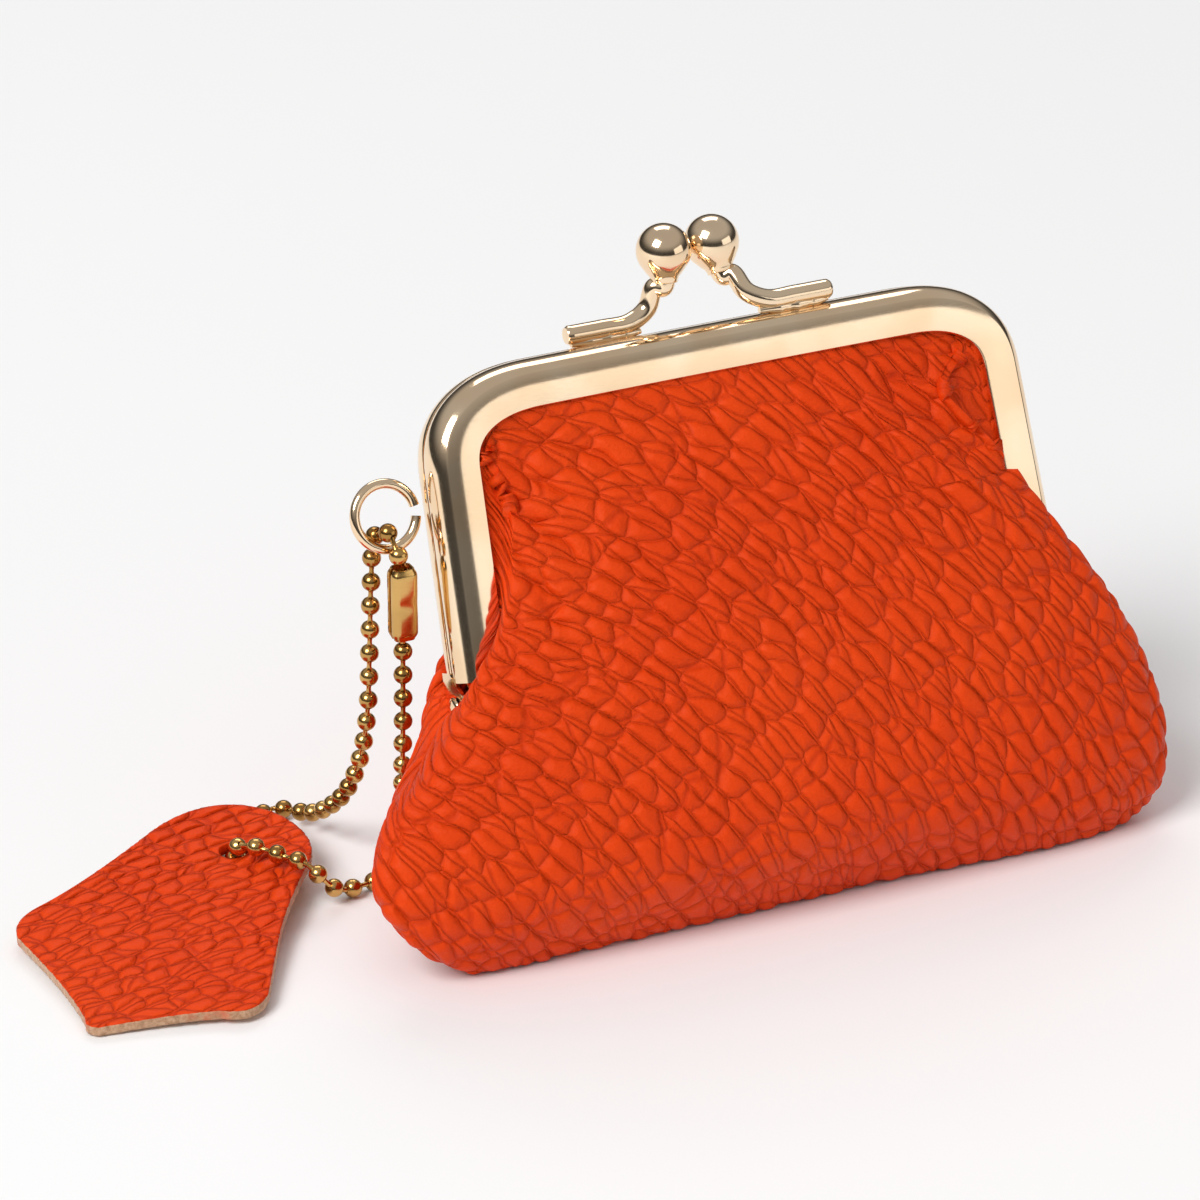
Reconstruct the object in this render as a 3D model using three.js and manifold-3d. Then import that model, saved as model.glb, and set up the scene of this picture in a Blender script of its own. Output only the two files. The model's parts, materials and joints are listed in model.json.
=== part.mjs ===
// Kiss-lock coin purse with a ball chain and a leather tag.
//
// Millimetres, +Z up. The origin is on the resting plane, straight below the
// hinge axis, in the middle of the purse. The purse leans back: its frame,
// clasp and leather are built in a group turned about the hinge axis. In that
// group X runs along the hinge, Z runs up the face of the frame and -Y points
// out of its front. The chain and the tag lie on the resting plane.

import * as THREE from 'three';
import { mergeVertices } from 'three/addons/utils/BufferGeometryUtils.js';
import Module from 'manifold-3d';

const wasm = await Module();
wasm.setup();

// ---------------------------------------------------------------- driving sizes

const leanAngle = THREE.MathUtils.degToRad(22.2);
const hingeHeight = 28.9;

// Metal frame: two channels, one in front of the other.
const frameWidth = 85;
const frameHeight = 41.2;
const frameFlare = Math.tan(THREE.MathUtils.degToRad(2));
const frameArch = 0.24;
const cornerAcross = 15.9;
const cornerUp = 12.0;
const cornerPower = 2.32;
const halfDepth = 4.0;
const flangeReach = 6.0;
const sheet = 0.5;
const frontRounding = 1.5;
const frameSeam = 0.3;

// Hinge: ears, holes and rivets.
const earRadius = 3.2;
const earGap = 0.35;
const earSheet = 0.5;
const earSpacing = 0.5;
const pinRadius = 0.9;
const pinClearance = 0.1;
const headRadius = 1.7;
const headThickness = 0.6;
const headGap = 0.2;

// Clasp: two bent rods with a ball on each.
const rodRadius = 1.25;
const ballRadius = 3.5;
const ballClearance = 0.3;
const ballSpacing = 2 * ballRadius + ballClearance;
const ballCross = 0.6;
const ballHeight = 9.9;
const footOuter = 17.6;
const footInner = 7.6;
const claspOffset = -1.2;
const rodInBall = 1.2;
const socketClearance = 0.3;

// Charm ring, on the side of the rear frame.
const ringRadius = 4.05;
const ringWire = 0.65;
const ringHeight = 25.1;
const ringGapAngle = 0.16;

// Leather, lining and the cord packed in the channels.
const leather = 1.1;
const skive = 0.73;
const tuck = 1.3;
const pouchOverhang = 11.9;
const widestDrop = 20;
const pouchDrop = 37;
const pouchCornerAcross = 17;
const frontBelly = 14.5;
const rearBelly = 27;
const sideReach = 30;
const frontBottomReach = 18;
const rearBottomReach = 9;
const seamGap = 1.1;
const foldTop = 6;
const foldBottom = -11;
const liningGap = 0.3;
const lining = 0.4;
const packingRadius = 0.5;
const threadRadius = 0.25;
const touchGap = 0.3;

// Ball chain, connector and tag.
const chainRadius = 1.2;
const connectorLength = 9.6;
const connectorWidth = 3.4;
const connectorDepth = 3.0;
const connectorSheet = 0.25;
const tagThickness = 1.5;
const tagHoleClearance = 1.0;
const tagHole = [-64.15, 21.0, 4.5];
const tagHeading = THREE.MathUtils.degToRad(225);
const tagSlope = 3.0 / 45;

// Where the ring's middle is along the hinge when the chain hangs as routed below.
const routedRing = -46.62;

// The chain's centreline, from the top of the connector, over the ring, down
// to the resting plane, under the tag, up through its hole, over its edge and
// up again to the bottom of the connector.
const chainRoute = [
  [-46.0, 7.7, 46.2],
  [-46.7, 7.5, 47.8],
  [-47.2, 9.3, 50.1],
  [-47.8, 12.1, 48.6],
  [-48.2, 12.4, 43.0],
  [-48.6, 12.4, 34.0],
  [-49.0, 12.6, 24.5],
  [-49.2, 14.8, 17.0],
  [-49.5, 18.8, 10.6],
  [-49.9, 23.8, 6.0],
  [-50.4, 28.6, 3.0],
  [-51.2, 32.6, 1.6],
  [-53.0, 34.8, 1.3],
  [-55.8, 33.3, 1.3],
  [-59.0, 29.0, 1.3],
  [-62.4, 24.3, 1.35],
  [-63.6, 22.5, 1.9],
  [-64.05, 21.4, 3.2],
  [-64.15, 20.6, 4.6],
  [-63.9, 19.2, 5.9],
  [-62.6, 17.1, 6.3],
  [-60.5, 13.8, 6.2],
  [-58.5, 10.6, 6.0],
  [-56.4, 9.4, 3.6],
  [-54.4, 9.9, 1.8],
  [-51.4, 10.6, 1.3],
  [-48.2, 11.4, 1.3],
  [-45.6, 13.0, 1.8],
  [-44.2, 13.9, 4.5],
  [-44.4, 12.8, 8.5],
  [-45.4, 10.4, 13.0],
  [-46.1, 8.6, 18.0],
  [-46.2, 8.0, 24.0],
  [-46.1, 7.8, 36.0],
];

// ---------------------------------------------------------------- materials

function metal(color, roughness) {
  return new THREE.MeshStandardMaterial({ color, roughness, metalness: 1 });
}

function soft(color, roughness) {
  return new THREE.MeshStandardMaterial({ color, roughness, metalness: 0 });
}

const paint = {
  frame: () => metal(0xd9b98a, 0.12),
  chain: () => metal(0xa9793a, 0.25),
  leather: () => soft(0xd23a14, 0.55),
  lining: () => soft(0x8c2a1a, 0.9),
  paper: () => soft(0xc9b28a, 0.95),
  thread: () => soft(0xa83216, 0.8),
};

// ---------------------------------------------------------------- mesh helpers

// A closed mesh from corner points and triangles, turned to face out.
function closedMesh(points, triangles) {
  let volume = 0;
  for (let i = 0; i < triangles.length; i += 3) {
    const [a, b, c] = [0, 1, 2].map((k) => points[triangles[i + k]]);
    volume += a.dot(b.clone().cross(c));
  }
  const order = volume < 0 ? triangles.slice().reverse() : triangles;
  const geometry = new THREE.BufferGeometry();
  const flat = points.flatMap((p) => [p.x, p.y, p.z]);
  geometry.setAttribute('position', new THREE.Float32BufferAttribute(flat, 3));
  geometry.setIndex(order);
  return geometry;
}

// A solid swept through equal closed rings of points, with flat ends.
function sweptSolid(rings, section) {
  const n = section.length;
  const triangles = [];
  for (let k = 0; k < rings.length - 1; k += 1) {
    for (let i = 0; i < n; i += 1) {
      const j = (i + 1) % n;
      const [a, b] = [k * n + i, k * n + j];
      triangles.push(a, b, b + n, a, b + n, a + n);
    }
  }
  const last = (rings.length - 1) * n;
  const backwards = THREE.ShapeUtils.isClockWise(section);
  for (const [a, p, q] of THREE.ShapeUtils.triangulateShape(section, [])) {
    const [b, c] = backwards ? [q, p] : [p, q];
    triangles.push(a, c, b);
    triangles.push(last + a, last + b, last + c);
  }
  return closedMesh(rings.flat(), triangles);
}

function toSolid(geometry) {
  const bare = geometry.clone();
  bare.deleteAttribute('normal');
  bare.deleteAttribute('uv');
  const merged = mergeVertices(bare, 1e-5);
  return new wasm.Manifold(new wasm.Mesh({
    numProp: 3,
    vertProperties: new Float32Array(merged.attributes.position.array),
    triVerts: new Uint32Array(merged.index.array),
  }));
}

function toGeometry(manifold) {
  const mesh = manifold.getMesh();
  const geometry = new THREE.BufferGeometry();
  geometry.setAttribute('position', new THREE.BufferAttribute(mesh.vertProperties, 3));
  geometry.setIndex(new THREE.BufferAttribute(mesh.triVerts, 1));
  return geometry;
}

function circle(radius, sides) {
  return Array.from({ length: sides }, (_, i) => {
    const a = (2 * Math.PI * i) / sides;
    return new THREE.Vector2(radius * Math.cos(a), radius * Math.sin(a));
  });
}

// A round bar along a curve.
function bar(curve, radius, sides, steps) {
  return new THREE.ExtrudeGeometry(new THREE.Shape(circle(radius, sides)), {
    steps,
    extrudePath: curve,
  });
}

function block(low, high) {
  const size = high.map((h, i) => h - low[i]);
  const geometry = new THREE.BoxGeometry(...size);
  geometry.translate(...low.map((l, i) => l + size[i] / 2));
  return geometry;
}

// A cylinder along X from x0 to x1, around the hinge axis.
function hingeDisc(radius, x0, x1, sides) {
  const geometry = new THREE.CylinderGeometry(radius, radius, Math.abs(x1 - x0), sides);
  geometry.rotateZ(Math.PI / 2);
  geometry.translate((x0 + x1) / 2, 0, 0);
  return geometry;
}

// ---------------------------------------------------------------- frame group places

// A point of the leaning group: u along the hinge, v up the face, w out of the front.
function place(u, v, w) {
  return new THREE.Vector3(u, -w, v);
}

// Right half of the frame's outline as [u, v], from the hinge to the middle of the top.
function frameHalfOutline() {
  const points = [];
  const cornerStart = frameHeight - cornerUp;
  for (const rise of [0, foldTop / 2, (foldTop + cornerStart) / 2]) {
    points.push([frameWidth / 2, rise]);
  }
  const across = frameWidth / 2 - cornerAcross;
  const power = 2 / cornerPower;
  for (let i = 0; i <= 8; i += 1) {
    const a = (Math.PI / 2) * (i / 8);
    points.push([
      across + cornerAcross * Math.max(0, Math.cos(a)) ** power,
      cornerStart + cornerUp * Math.sin(a) ** power,
    ]);
  }
  for (let i = 1; i <= 2; i += 1) {
    points.push([across * (1 - i / 2), frameHeight]);
  }
  return points.map(([u, v]) => {
    const inward = u - frameFlare * v * (u / (frameWidth / 2));
    return [inward, v - frameArch * (inward / (frameWidth / 2)) ** 2];
  });
}

function mirrored(half) {
  const other = half.slice(0, -1).reverse().map(([u, v]) => [-u, v]);
  return [...half, ...other];
}

// Moves an open or closed outline to its left by a distance.
function shifted(outline, distance, closed) {
  const n = outline.length;
  return outline.map(([u, v], i) => {
    const before = closed ? outline[(i + n - 1) % n] : outline[Math.max(0, i - 1)];
    const after = closed ? outline[(i + 1) % n] : outline[Math.min(n - 1, i + 1)];
    const [du, dv] = [after[0] - before[0], after[1] - before[1]];
    const length = Math.hypot(du, dv);
    return [u - (distance * dv) / length, v + (distance * du) / length];
  });
}

const frameOutline = mirrored(frameHalfOutline());
const earInner = frameWidth / 2 - sheet - earSpacing - earSheet;

// ---------------------------------------------------------------- metal frame

// The channel's section as [inward, depth], depth 0 at the seam between the halves.
function channelSection() {
  const seam = frameSeam / 2;
  const inside = frontRounding - sheet;
  const outer = [[flangeReach, seam], [0, seam]];
  const inner = [];
  for (let i = 0; i <= 3; i += 1) {
    const a = (Math.PI / 2) * (i / 3);
    outer.push([
      frontRounding * (1 - Math.cos(a)),
      halfDepth - frontRounding * (1 - Math.sin(a)),
    ]);
    inner.push([
      sheet + inside * (1 - Math.cos(a)),
      halfDepth - sheet - inside * (1 - Math.sin(a)),
    ]);
  }
  outer.push([flangeReach, halfDepth], [flangeReach, halfDepth - sheet]);
  return [
    ...outer,
    ...inner.reverse(),
    [sheet, seam + sheet],
    [flangeReach, seam + sheet],
  ];
}

// One half of the frame. side is 1 in front and -1 behind.
function frameHalf(side) {
  const section = channelSection();
  const columns = section.map(([inward]) => shifted(frameOutline, inward, false));
  const rings = frameOutline.map((_, i) => section.map(([, depth], k) => {
    const [u, v] = columns[k][i];
    return place(u, v, side * depth);
  }));
  const flat = section.map(([a, b]) => new THREE.Vector2(a, b));
  let solid = toSolid(sweptSolid(rings, flat));
  const room = earRadius + earGap;
  const far = frameWidth;
  solid = solid.subtract(toSolid(hingeDisc(room, -far, far, 32)));
  solid = solid.subtract(toSolid(block([-far, -halfDepth * 2, -far], [far, halfDepth * 2, 1])));
  const web = frameWidth / 2;
  const earOuter = side > 0 ? earInner + earSheet : web;
  const neckTop = foldTop;
  for (const end of [-1, 1]) {
    const x0 = end * (earOuter - earSheet);
    const x1 = end * earOuter;
    const [low, high] = [Math.min(x0, x1), Math.max(x0, x1)];
    const front = -Math.max(side * (halfDepth - frontRounding), side * frameSeam);
    const back = -Math.min(side * (halfDepth - frontRounding), side * frameSeam);
    const neck = toSolid(block([low, front, 0], [high, back, neckTop]));
    const ear = toSolid(hingeDisc(earRadius, x0, x1, 28)).add(neck);
    solid = solid.add(ear);
    const hole = hingeDisc(pinRadius + pinClearance, x0 - end, x1 + end, 24);
    solid = solid.subtract(toSolid(hole));
  }
  return toGeometry(solid);
}

// A rivet through the ears at one end of the hinge, with a head on each side.
function hingeRivet(end) {
  const inner = earInner - headGap;
  const outer = frameWidth / 2 + headGap;
  const profile = [
    [0, inner - headThickness],
    [headRadius * 0.8, inner - headThickness],
    [headRadius, inner - headThickness * 0.6],
    [headRadius, inner],
    [pinRadius, inner],
    [pinRadius, outer],
    [headRadius, outer],
    [headRadius * 0.85, outer + headThickness * 0.6],
    [headRadius * 0.45, outer + headThickness],
    [0, outer + headThickness],
  ].map(([r, x]) => new THREE.Vector2(r, x));
  const geometry = new THREE.LatheGeometry(profile, 16);
  geometry.rotateZ((-end * Math.PI) / 2);
  return geometry;
}

// ---------------------------------------------------------------- clasp

const footHeight = frameHeight + rodRadius + touchGap;

// The rod of one clasp lever. side is 1 on the front frame and -1 on the rear one.
function claspRodCurve(side) {
  const w = side * halfDepth * 0.5;
  const ballU = (side * ballSpacing) / 2;
  const ballV = frameHeight + ballHeight;
  const points = [
    [side * footOuter, footHeight, w],
    [side * (footOuter + footInner) * 0.5, footHeight, w],
    [side * (footInner + 1.2), footHeight + 0.1, w],
    [side * (footInner - 1.4), footHeight + 1.5, w * 0.85],
    [ballU + side * 1.5, footHeight + 4.0, w * 0.3],
    [ballU + side * 0.6, ballV - ballRadius - 1.0, 0],
    [ballU + side * 0.3, ballV - ballRadius + rodInBall, -side * ballCross * 0.5],
  ];
  return new THREE.CatmullRomCurve3(
    points.map(([u, v, t]) => place(u + claspOffset, v, t)),
    false,
    'centripetal',
  );
}

function claspRod(side) {
  return bar(claspRodCurve(side), rodRadius, 10, 18);
}

// The ball, with a socket for the end of its rod.
function claspBall(side) {
  const curve = claspRodCurve(side);
  const end = curve.getPoint(1);
  const before = curve.getPoint(0.92);
  const direction = end.clone().sub(before).normalize();
  const centre = place(
    (side * ballSpacing) / 2 + claspOffset,
    frameHeight + ballHeight,
    -side * ballCross,
  );
  const ball = new THREE.SphereGeometry(ballRadius, 20, 12);
  ball.translate(centre.x, centre.y, centre.z);
  const tip = end.clone().addScaledVector(direction, touchGap);
  const mouth = end.clone().addScaledVector(direction, -2 * ballRadius);
  const socket = bar(new THREE.LineCurve3(mouth, tip), rodRadius + socketClearance, 14, 1);
  return toGeometry(toSolid(ball).subtract(toSolid(socket)));
}

// ---------------------------------------------------------------- charm ring

// The ring's middle, clear of the frame's side wall.
const ringMiddle = [
  -(frameWidth / 2 - frameFlare * ringHeight + touchGap + ringWire + ringRadius),
  ringHeight,
];

function charmRing() {
  const points = [];
  for (let i = 0; i <= 28; i += 1) {
    const a = ringGapAngle + (2 * Math.PI - 2 * ringGapAngle) * (i / 28);
    points.push(place(
      ringMiddle[0] + ringRadius * Math.cos(a),
      ringMiddle[1] + ringRadius * Math.sin(a),
      -halfDepth / 2,
    ));
  }
  return bar(new THREE.CatmullRomCurve3(points), ringWire, 8, 28);
}

// ---------------------------------------------------------------- leather pouch

const pouchHalf = frameWidth / 2 + pouchOverhang;

function smoothstep(x, low, high) {
  return THREE.MathUtils.smoothstep(x, low, high);
}

// Half the pouch's width at height v.
function halfWidth(v) {
  const hingeHalf = frameWidth / 2 - tuck;
  if (v > -widestDrop) {
    const rise = THREE.MathUtils.clamp(1 + v / widestDrop, 0, 1);
    return hingeHalf + (pouchHalf - hingeHalf) * Math.cos((Math.PI / 2) * rise);
  }
  const drop = THREE.MathUtils.clamp((-v - widestDrop) / (pouchDrop - widestDrop), 0, 1);
  return pouchHalf - pouchCornerAcross * (1 - Math.sqrt(1 - drop ** 2));
}

// Right half of the pouch's outline, from its lowest middle point up to the hinge.
function pouchHalfOutline() {
  const points = [];
  for (let i = 0; i < 3; i += 1) {
    points.push([((pouchHalf - pouchCornerAcross) * i) / 3, -pouchDrop]);
  }
  for (let i = 0; i <= 5; i += 1) {
    const v = -widestDrop - (pouchDrop - widestDrop) * Math.cos((Math.PI / 2) * (i / 5));
    points.push([halfWidth(v), v]);
  }
  for (let i = 1; i < 4; i += 1) {
    const v = -widestDrop * (1 - i / 4);
    points.push([halfWidth(v), v]);
  }
  return points;
}

// The whole outline of one leather panel, closed, counter-clockwise.
function panelOutline() {
  const frameEdge = shifted(frameOutline, tuck, false);
  const right = pouchHalfOutline();
  const left = right.slice(1).reverse().map(([u, v]) => [-u, v]);
  return [...right, ...frameEdge, ...left];
}

const outline = panelOutline();

// How far the middle of a panel stands out of the seam plane at height v.
function bellyDepth(side, v) {
  const belly = side > 0 ? frontBelly : rearBelly;
  const narrowing = Math.cos((Math.PI / 2) * smoothstep(v, -26, frameHeight + 4)) ** 1.3;
  return halfDepth + (belly - halfDepth) * narrowing;
}

// A rise from 0 to 1 over a reach, steep at first.
function rounding(distance, reach, power) {
  return 1 - (1 - THREE.MathUtils.clamp(distance / reach, 0, 1)) ** power;
}

// Depth of a panel's surface at a place of its outline plane, a distance in from its
// edge. inset is how far the surface lies inside the leather's outer face.
function panelDepth(side, u, v, distance, inset) {
  const channel = halfDepth - sheet - 0.2 - skive * inset;
  const seam = seamGap / 2;
  const belly = bellyDepth(side, v) - inset;
  const inFrame = rounding(distance - (flangeReach - tuck), 16, 2);
  const fromSide = rounding(halfWidth(v) - inset - Math.abs(u), sideReach, 1.7);
  const [bottomReach, bottomPower] = side > 0 ? [frontBottomReach, 1.7] : [rearBottomReach, 2.6];
  const fromBottom = rounding(v + pouchDrop - inset, bottomReach, bottomPower);
  const frameDepth = channel + (Math.max(belly, channel) - channel) * inFrame;
  const pouchDepth = seam + (belly - seam) * fromSide * fromBottom;
  return THREE.MathUtils.lerp(pouchDepth, frameDepth, smoothstep(v, -7, foldTop / 2));
}

// A surface point of the pouch. Low points follow the upright, and none goes below the
// resting plane.
function pouchPoint(u, v, w, inset) {
  const upright = 1 - smoothstep(v, -22, 0);
  let height = v - w * Math.tan(leanAngle) * upright;
  let out = w;
  const rise = height * Math.cos(leanAngle) + out * Math.sin(leanAngle) + hingeHeight;
  const lift = Math.max(0, inset - rise);
  height += lift * Math.cos(leanAngle);
  out += lift * Math.sin(leanAngle);
  return place(u, height, out);
}

// Rows of points of one surface, from the outline to the middle, and then the middle.
function panelSurface(side, inset) {
  const edge = shifted(outline, inset, true);
  const middle = [0, -4];
  const near = [0, 1.5, 3, flangeReach - tuck];
  const far = [0.8, 0.55, 0.28];
  const rows = near.map((distance) => shifted(outline, inset + distance, true)
    .map(([u, v]) => [u, v, distance]));
  const last = rows[rows.length - 1];
  for (const share of far) {
    rows.push(last.map(([u, v]) => {
      const [du, dv] = [u - middle[0], v - middle[1]];
      const distance = flangeReach - tuck + (1 - share) * Math.hypot(du, dv);
      return [middle[0] + share * du, middle[1] + share * dv, distance];
    }));
  }
  const toPoint = ([u, v, distance]) => {
    const w = side * panelDepth(side, u, v, distance, inset);
    return pouchPoint(u, v, w, inset);
  };
  const points = rows.flatMap((row) => row.map(toPoint));
  points.push(toPoint([...middle, frameWidth / 2]));
  return { points, rows: rows.length, columns: edge.length };
}

// A closed sheet between two insets of the panel's surface.
function panelSheet(side, outerInset, innerInset) {
  const outer = panelSurface(side, outerInset);
  const inner = panelSurface(side, innerInset);
  const { rows, columns } = outer;
  const count = outer.points.length;
  const triangles = [];
  for (let j = 0; j < columns; j += 1) {
    const next = (j + 1) % columns;
    for (let k = 0; k < rows - 1; k += 1) {
      const [a, b] = [k * columns + j, k * columns + next];
      const [c, d] = [a + columns, b + columns];
      triangles.push(a, b, d, a, d, c);
      triangles.push(count + a, count + d, count + b, count + a, count + c, count + d);
    }
    const [a, b] = [(rows - 1) * columns + j, (rows - 1) * columns + next];
    triangles.push(a, b, count - 1);
    triangles.push(count + a, 2 * count - 1, count + b);
    triangles.push(j, count + next, next, j, count + j, count + next);
  }
  return closedMesh([...outer.points, ...inner.points], triangles);
}

// Leaves room for the channels' ends, the ears and the rivets at both ends of the hinge.
function clearOfHinge(solid) {
  const room = halfDepth + 2;
  const from = frameWidth / 2 - frameFlare * foldTop - flangeReach - touchGap;
  let cleared = solid;
  for (const end of [-1, 1]) {
    const [x0, x1] = end > 0 ? [from, pouchHalf] : [-pouchHalf, -from];
    cleared = cleared.subtract(toSolid(block([x0, -room, -5], [x1, room, foldTop + touchGap])));
  }
  return cleared;
}

// The part of a solid between two heights of the frame's face.
function slice(solid, low, high) {
  const far = 2 * pouchHalf;
  return solid.intersect(toSolid(block([-far, -far, low], [far, far, high])));
}

const liningInset = leather + liningGap;

function softPanels() {
  const far = 2 * pouchHalf;
  const half = touchGap / 2;
  const pieces = {};
  const front = clearOfHinge(toSolid(panelSheet(1, 0, leather)));
  const frontLining = clearOfHinge(toSolid(panelSheet(1, liningInset, liningInset + lining)));
  const bands = [
    ['upper', foldTop + half, far],
    ['fold', foldBottom + half, foldTop - half],
    ['lower', -far, foldBottom - half],
  ];
  for (const [name, low, high] of bands) {
    pieces[`front_panel_${name}`] = toGeometry(slice(front, low, high));
    pieces[`front_lining_${name}`] = toGeometry(slice(frontLining, low, high));
  }
  const rear = clearOfHinge(toSolid(panelSheet(-1, 0, leather)));
  const rearLining = clearOfHinge(toSolid(panelSheet(-1, liningInset, liningInset + lining)));
  pieces.rear_panel = toGeometry(rear);
  pieces.rear_lining = toGeometry(rearLining);
  return pieces;
}

// The cord packed into a channel beside the leather.
function packingCord(side) {
  const depth = frameSeam / 2 + sheet + 0.2 + packingRadius;
  const path = shifted(frameOutline, flangeReach / 2, false)
    .filter(([, v]) => v > foldTop + 1)
    .map(([u, v]) => place(u, v, side * depth));
  return bar(new THREE.CatmullRomCurve3(path), packingRadius, 6, 32);
}

// The sewing thread between the two panels, round the pouch below the hinge.
function seamThread() {
  const inset = threadRadius + touchGap;
  const right = shifted(outline, inset, true).slice(0, pouchHalfOutline().length - 2);
  const left = right.slice(1).reverse().map(([u, v]) => [-u, v]);
  const path = [...left, ...right].map(([u, v]) => pouchPoint(u, v, 0, inset));
  return bar(new THREE.CatmullRomCurve3(path), threadRadius, 5, 40);
}

// ---------------------------------------------------------------- chain and tag

function beadChain() {
  const curve = new THREE.CatmullRomCurve3(
    chainRoute.map(([x, y, z]) => new THREE.Vector3(x, y, z)),
    false,
    'centripetal',
  );
  return bar(curve, chainRadius, 8, 80);
}

// The folded sheet that holds both ends of the chain, open along one side.
function chainConnector() {
  const [w, d, t] = [connectorWidth / 2, connectorDepth / 2, connectorSheet];
  const slot = 0.5;
  const points = [
    [-w, -slot], [-w, -d], [w, -d], [w, d], [-w, d], [-w, slot],
    [-w + t, slot], [-w + t, d - t], [w - t, d - t], [w - t, -d + t], [-w + t, -d + t], [-w + t, -slot],
  ].map(([x, y]) => new THREE.Vector2(x, y));
  const geometry = new THREE.ExtrudeGeometry(new THREE.Shape(points), {
    depth: connectorLength,
    bevelEnabled: false,
  });
  const top = chainRoute[0];
  geometry.translate(top[0] - 0.1, top[1], top[2] - touchGap - connectorLength);
  return geometry;
}

// The tag's outline: x towards its tip and y across, from the hole's centre.
function tagShape() {
  const shape = new THREE.Shape();
  shape.moveTo(-10.8, -3.0);
  shape.quadraticCurveTo(-11.0, 1.0, -9.0, 4.0);
  shape.quadraticCurveTo(-6.0, 9.0, -1.0, 10.0);
  shape.quadraticCurveTo(10.0, 11.2, 16.0, 12.7);
  shape.lineTo(29.0, 16.4);
  shape.quadraticCurveTo(34.0, 17.0, 34.4, 12.5);
  shape.quadraticCurveTo(37.0, 7.0, 42.2, -0.2);
  shape.quadraticCurveTo(42.8, -2.0, 41.0, -2.6);
  shape.quadraticCurveTo(35.0, -7.6, 26.4, -18.1);
  shape.quadraticCurveTo(23.4, -20.4, 20.0, -18.8);
  shape.quadraticCurveTo(12.0, -14.6, 0.0, -12.2);
  shape.quadraticCurveTo(-10.0, -10.4, -10.8, -3.0);
  shape.holes.push(new THREE.Path(circle(chainRadius + tagHoleClearance, 16)));
  return shape;
}

function leatherTag() {
  const geometry = new THREE.ExtrudeGeometry(tagShape(), {
    depth: tagThickness,
    bevelEnabled: false,
    curveSegments: 6,
  });
  geometry.translate(0, 0, -tagThickness);
  geometry.rotateY(Math.atan(tagSlope));
  geometry.rotateZ(tagHeading);
  geometry.translate(...tagHole);
  return geometry;
}

// ---------------------------------------------------------------- assembly

const purse = new THREE.Group();
const leaning = new THREE.Group();
leaning.position.z = hingeHeight;
leaning.rotation.x = -leanAngle;
purse.add(leaning);

function add(group, name, geometry, material) {
  const mesh = new THREE.Mesh(geometry, material);
  mesh.name = name;
  group.add(mesh);
}

for (const [name, side] of [['front', 1], ['rear', -1]]) {
  add(leaning, `${name}_frame`, frameHalf(side), paint.frame());
  add(leaning, `${name}_clasp_rod`, claspRod(side), paint.frame());
  add(leaning, `${name}_clasp_ball`, claspBall(side), paint.frame());
  add(leaning, `${name}_packing_cord`, packingCord(side), paint.paper());
}
add(leaning, 'hinge_rivet_left', hingeRivet(-1), paint.frame());
add(leaning, 'hinge_rivet_right', hingeRivet(1), paint.frame());
add(leaning, 'charm_ring', charmRing(), paint.frame());
for (const [name, geometry] of Object.entries(softPanels())) {
  const isLining = name.includes('lining');
  add(leaning, name, geometry, isLining ? paint.lining() : paint.leather());
}
add(leaning, 'seam_thread', seamThread(), paint.thread());
// The chain, its connector and the tag go where the ring is along the hinge.
const hanging = new THREE.Group();
hanging.position.x = ringMiddle[0] - routedRing;
purse.add(hanging);
add(hanging, 'bead_chain', beadChain(), paint.chain());
add(hanging, 'chain_connector', chainConnector(), paint.chain());
add(hanging, 'leather_tag', leatherTag(), paint.leather());

export default purse;
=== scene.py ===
"""Looks of a kiss-lock coin purse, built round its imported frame.

Everything is in the row frame: metres, +X along the hinge, -Y out of the front,
+Z up. The purse leans back. Its frame and leather are shaped in leaning
coordinates, in millimetres: u along the hinge, v up the face of the frame from
the hinge axis, and w out of the front. place() turns those into metres.
"""

import json
import math

import bpy
import numpy as np
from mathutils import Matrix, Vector


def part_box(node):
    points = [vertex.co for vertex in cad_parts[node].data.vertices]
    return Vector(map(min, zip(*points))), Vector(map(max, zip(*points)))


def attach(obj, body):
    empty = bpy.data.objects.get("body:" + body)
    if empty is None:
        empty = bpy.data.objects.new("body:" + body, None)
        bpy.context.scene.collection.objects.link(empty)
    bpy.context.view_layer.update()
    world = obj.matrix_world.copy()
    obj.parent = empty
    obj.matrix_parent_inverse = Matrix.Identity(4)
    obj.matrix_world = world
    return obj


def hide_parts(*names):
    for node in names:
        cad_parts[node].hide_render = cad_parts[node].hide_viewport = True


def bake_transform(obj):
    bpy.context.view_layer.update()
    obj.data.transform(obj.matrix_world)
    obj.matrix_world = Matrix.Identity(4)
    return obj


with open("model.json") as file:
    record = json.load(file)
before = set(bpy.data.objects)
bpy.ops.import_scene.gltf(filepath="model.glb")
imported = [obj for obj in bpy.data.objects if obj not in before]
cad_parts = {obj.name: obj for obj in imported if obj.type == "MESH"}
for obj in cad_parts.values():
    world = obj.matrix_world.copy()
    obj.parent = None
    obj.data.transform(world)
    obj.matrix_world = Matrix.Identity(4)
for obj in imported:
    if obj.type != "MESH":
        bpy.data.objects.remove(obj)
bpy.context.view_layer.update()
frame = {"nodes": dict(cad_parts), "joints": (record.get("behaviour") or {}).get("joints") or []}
joints = {joint["name"]: joint for joint in frame["joints"]}

# ---------- sizes, in millimetres

MM = 0.001
LEAN = math.radians(22.2)
HINGE_HEIGHT = joints["frame_hinge"]["pos_m"][2] / MM

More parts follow.
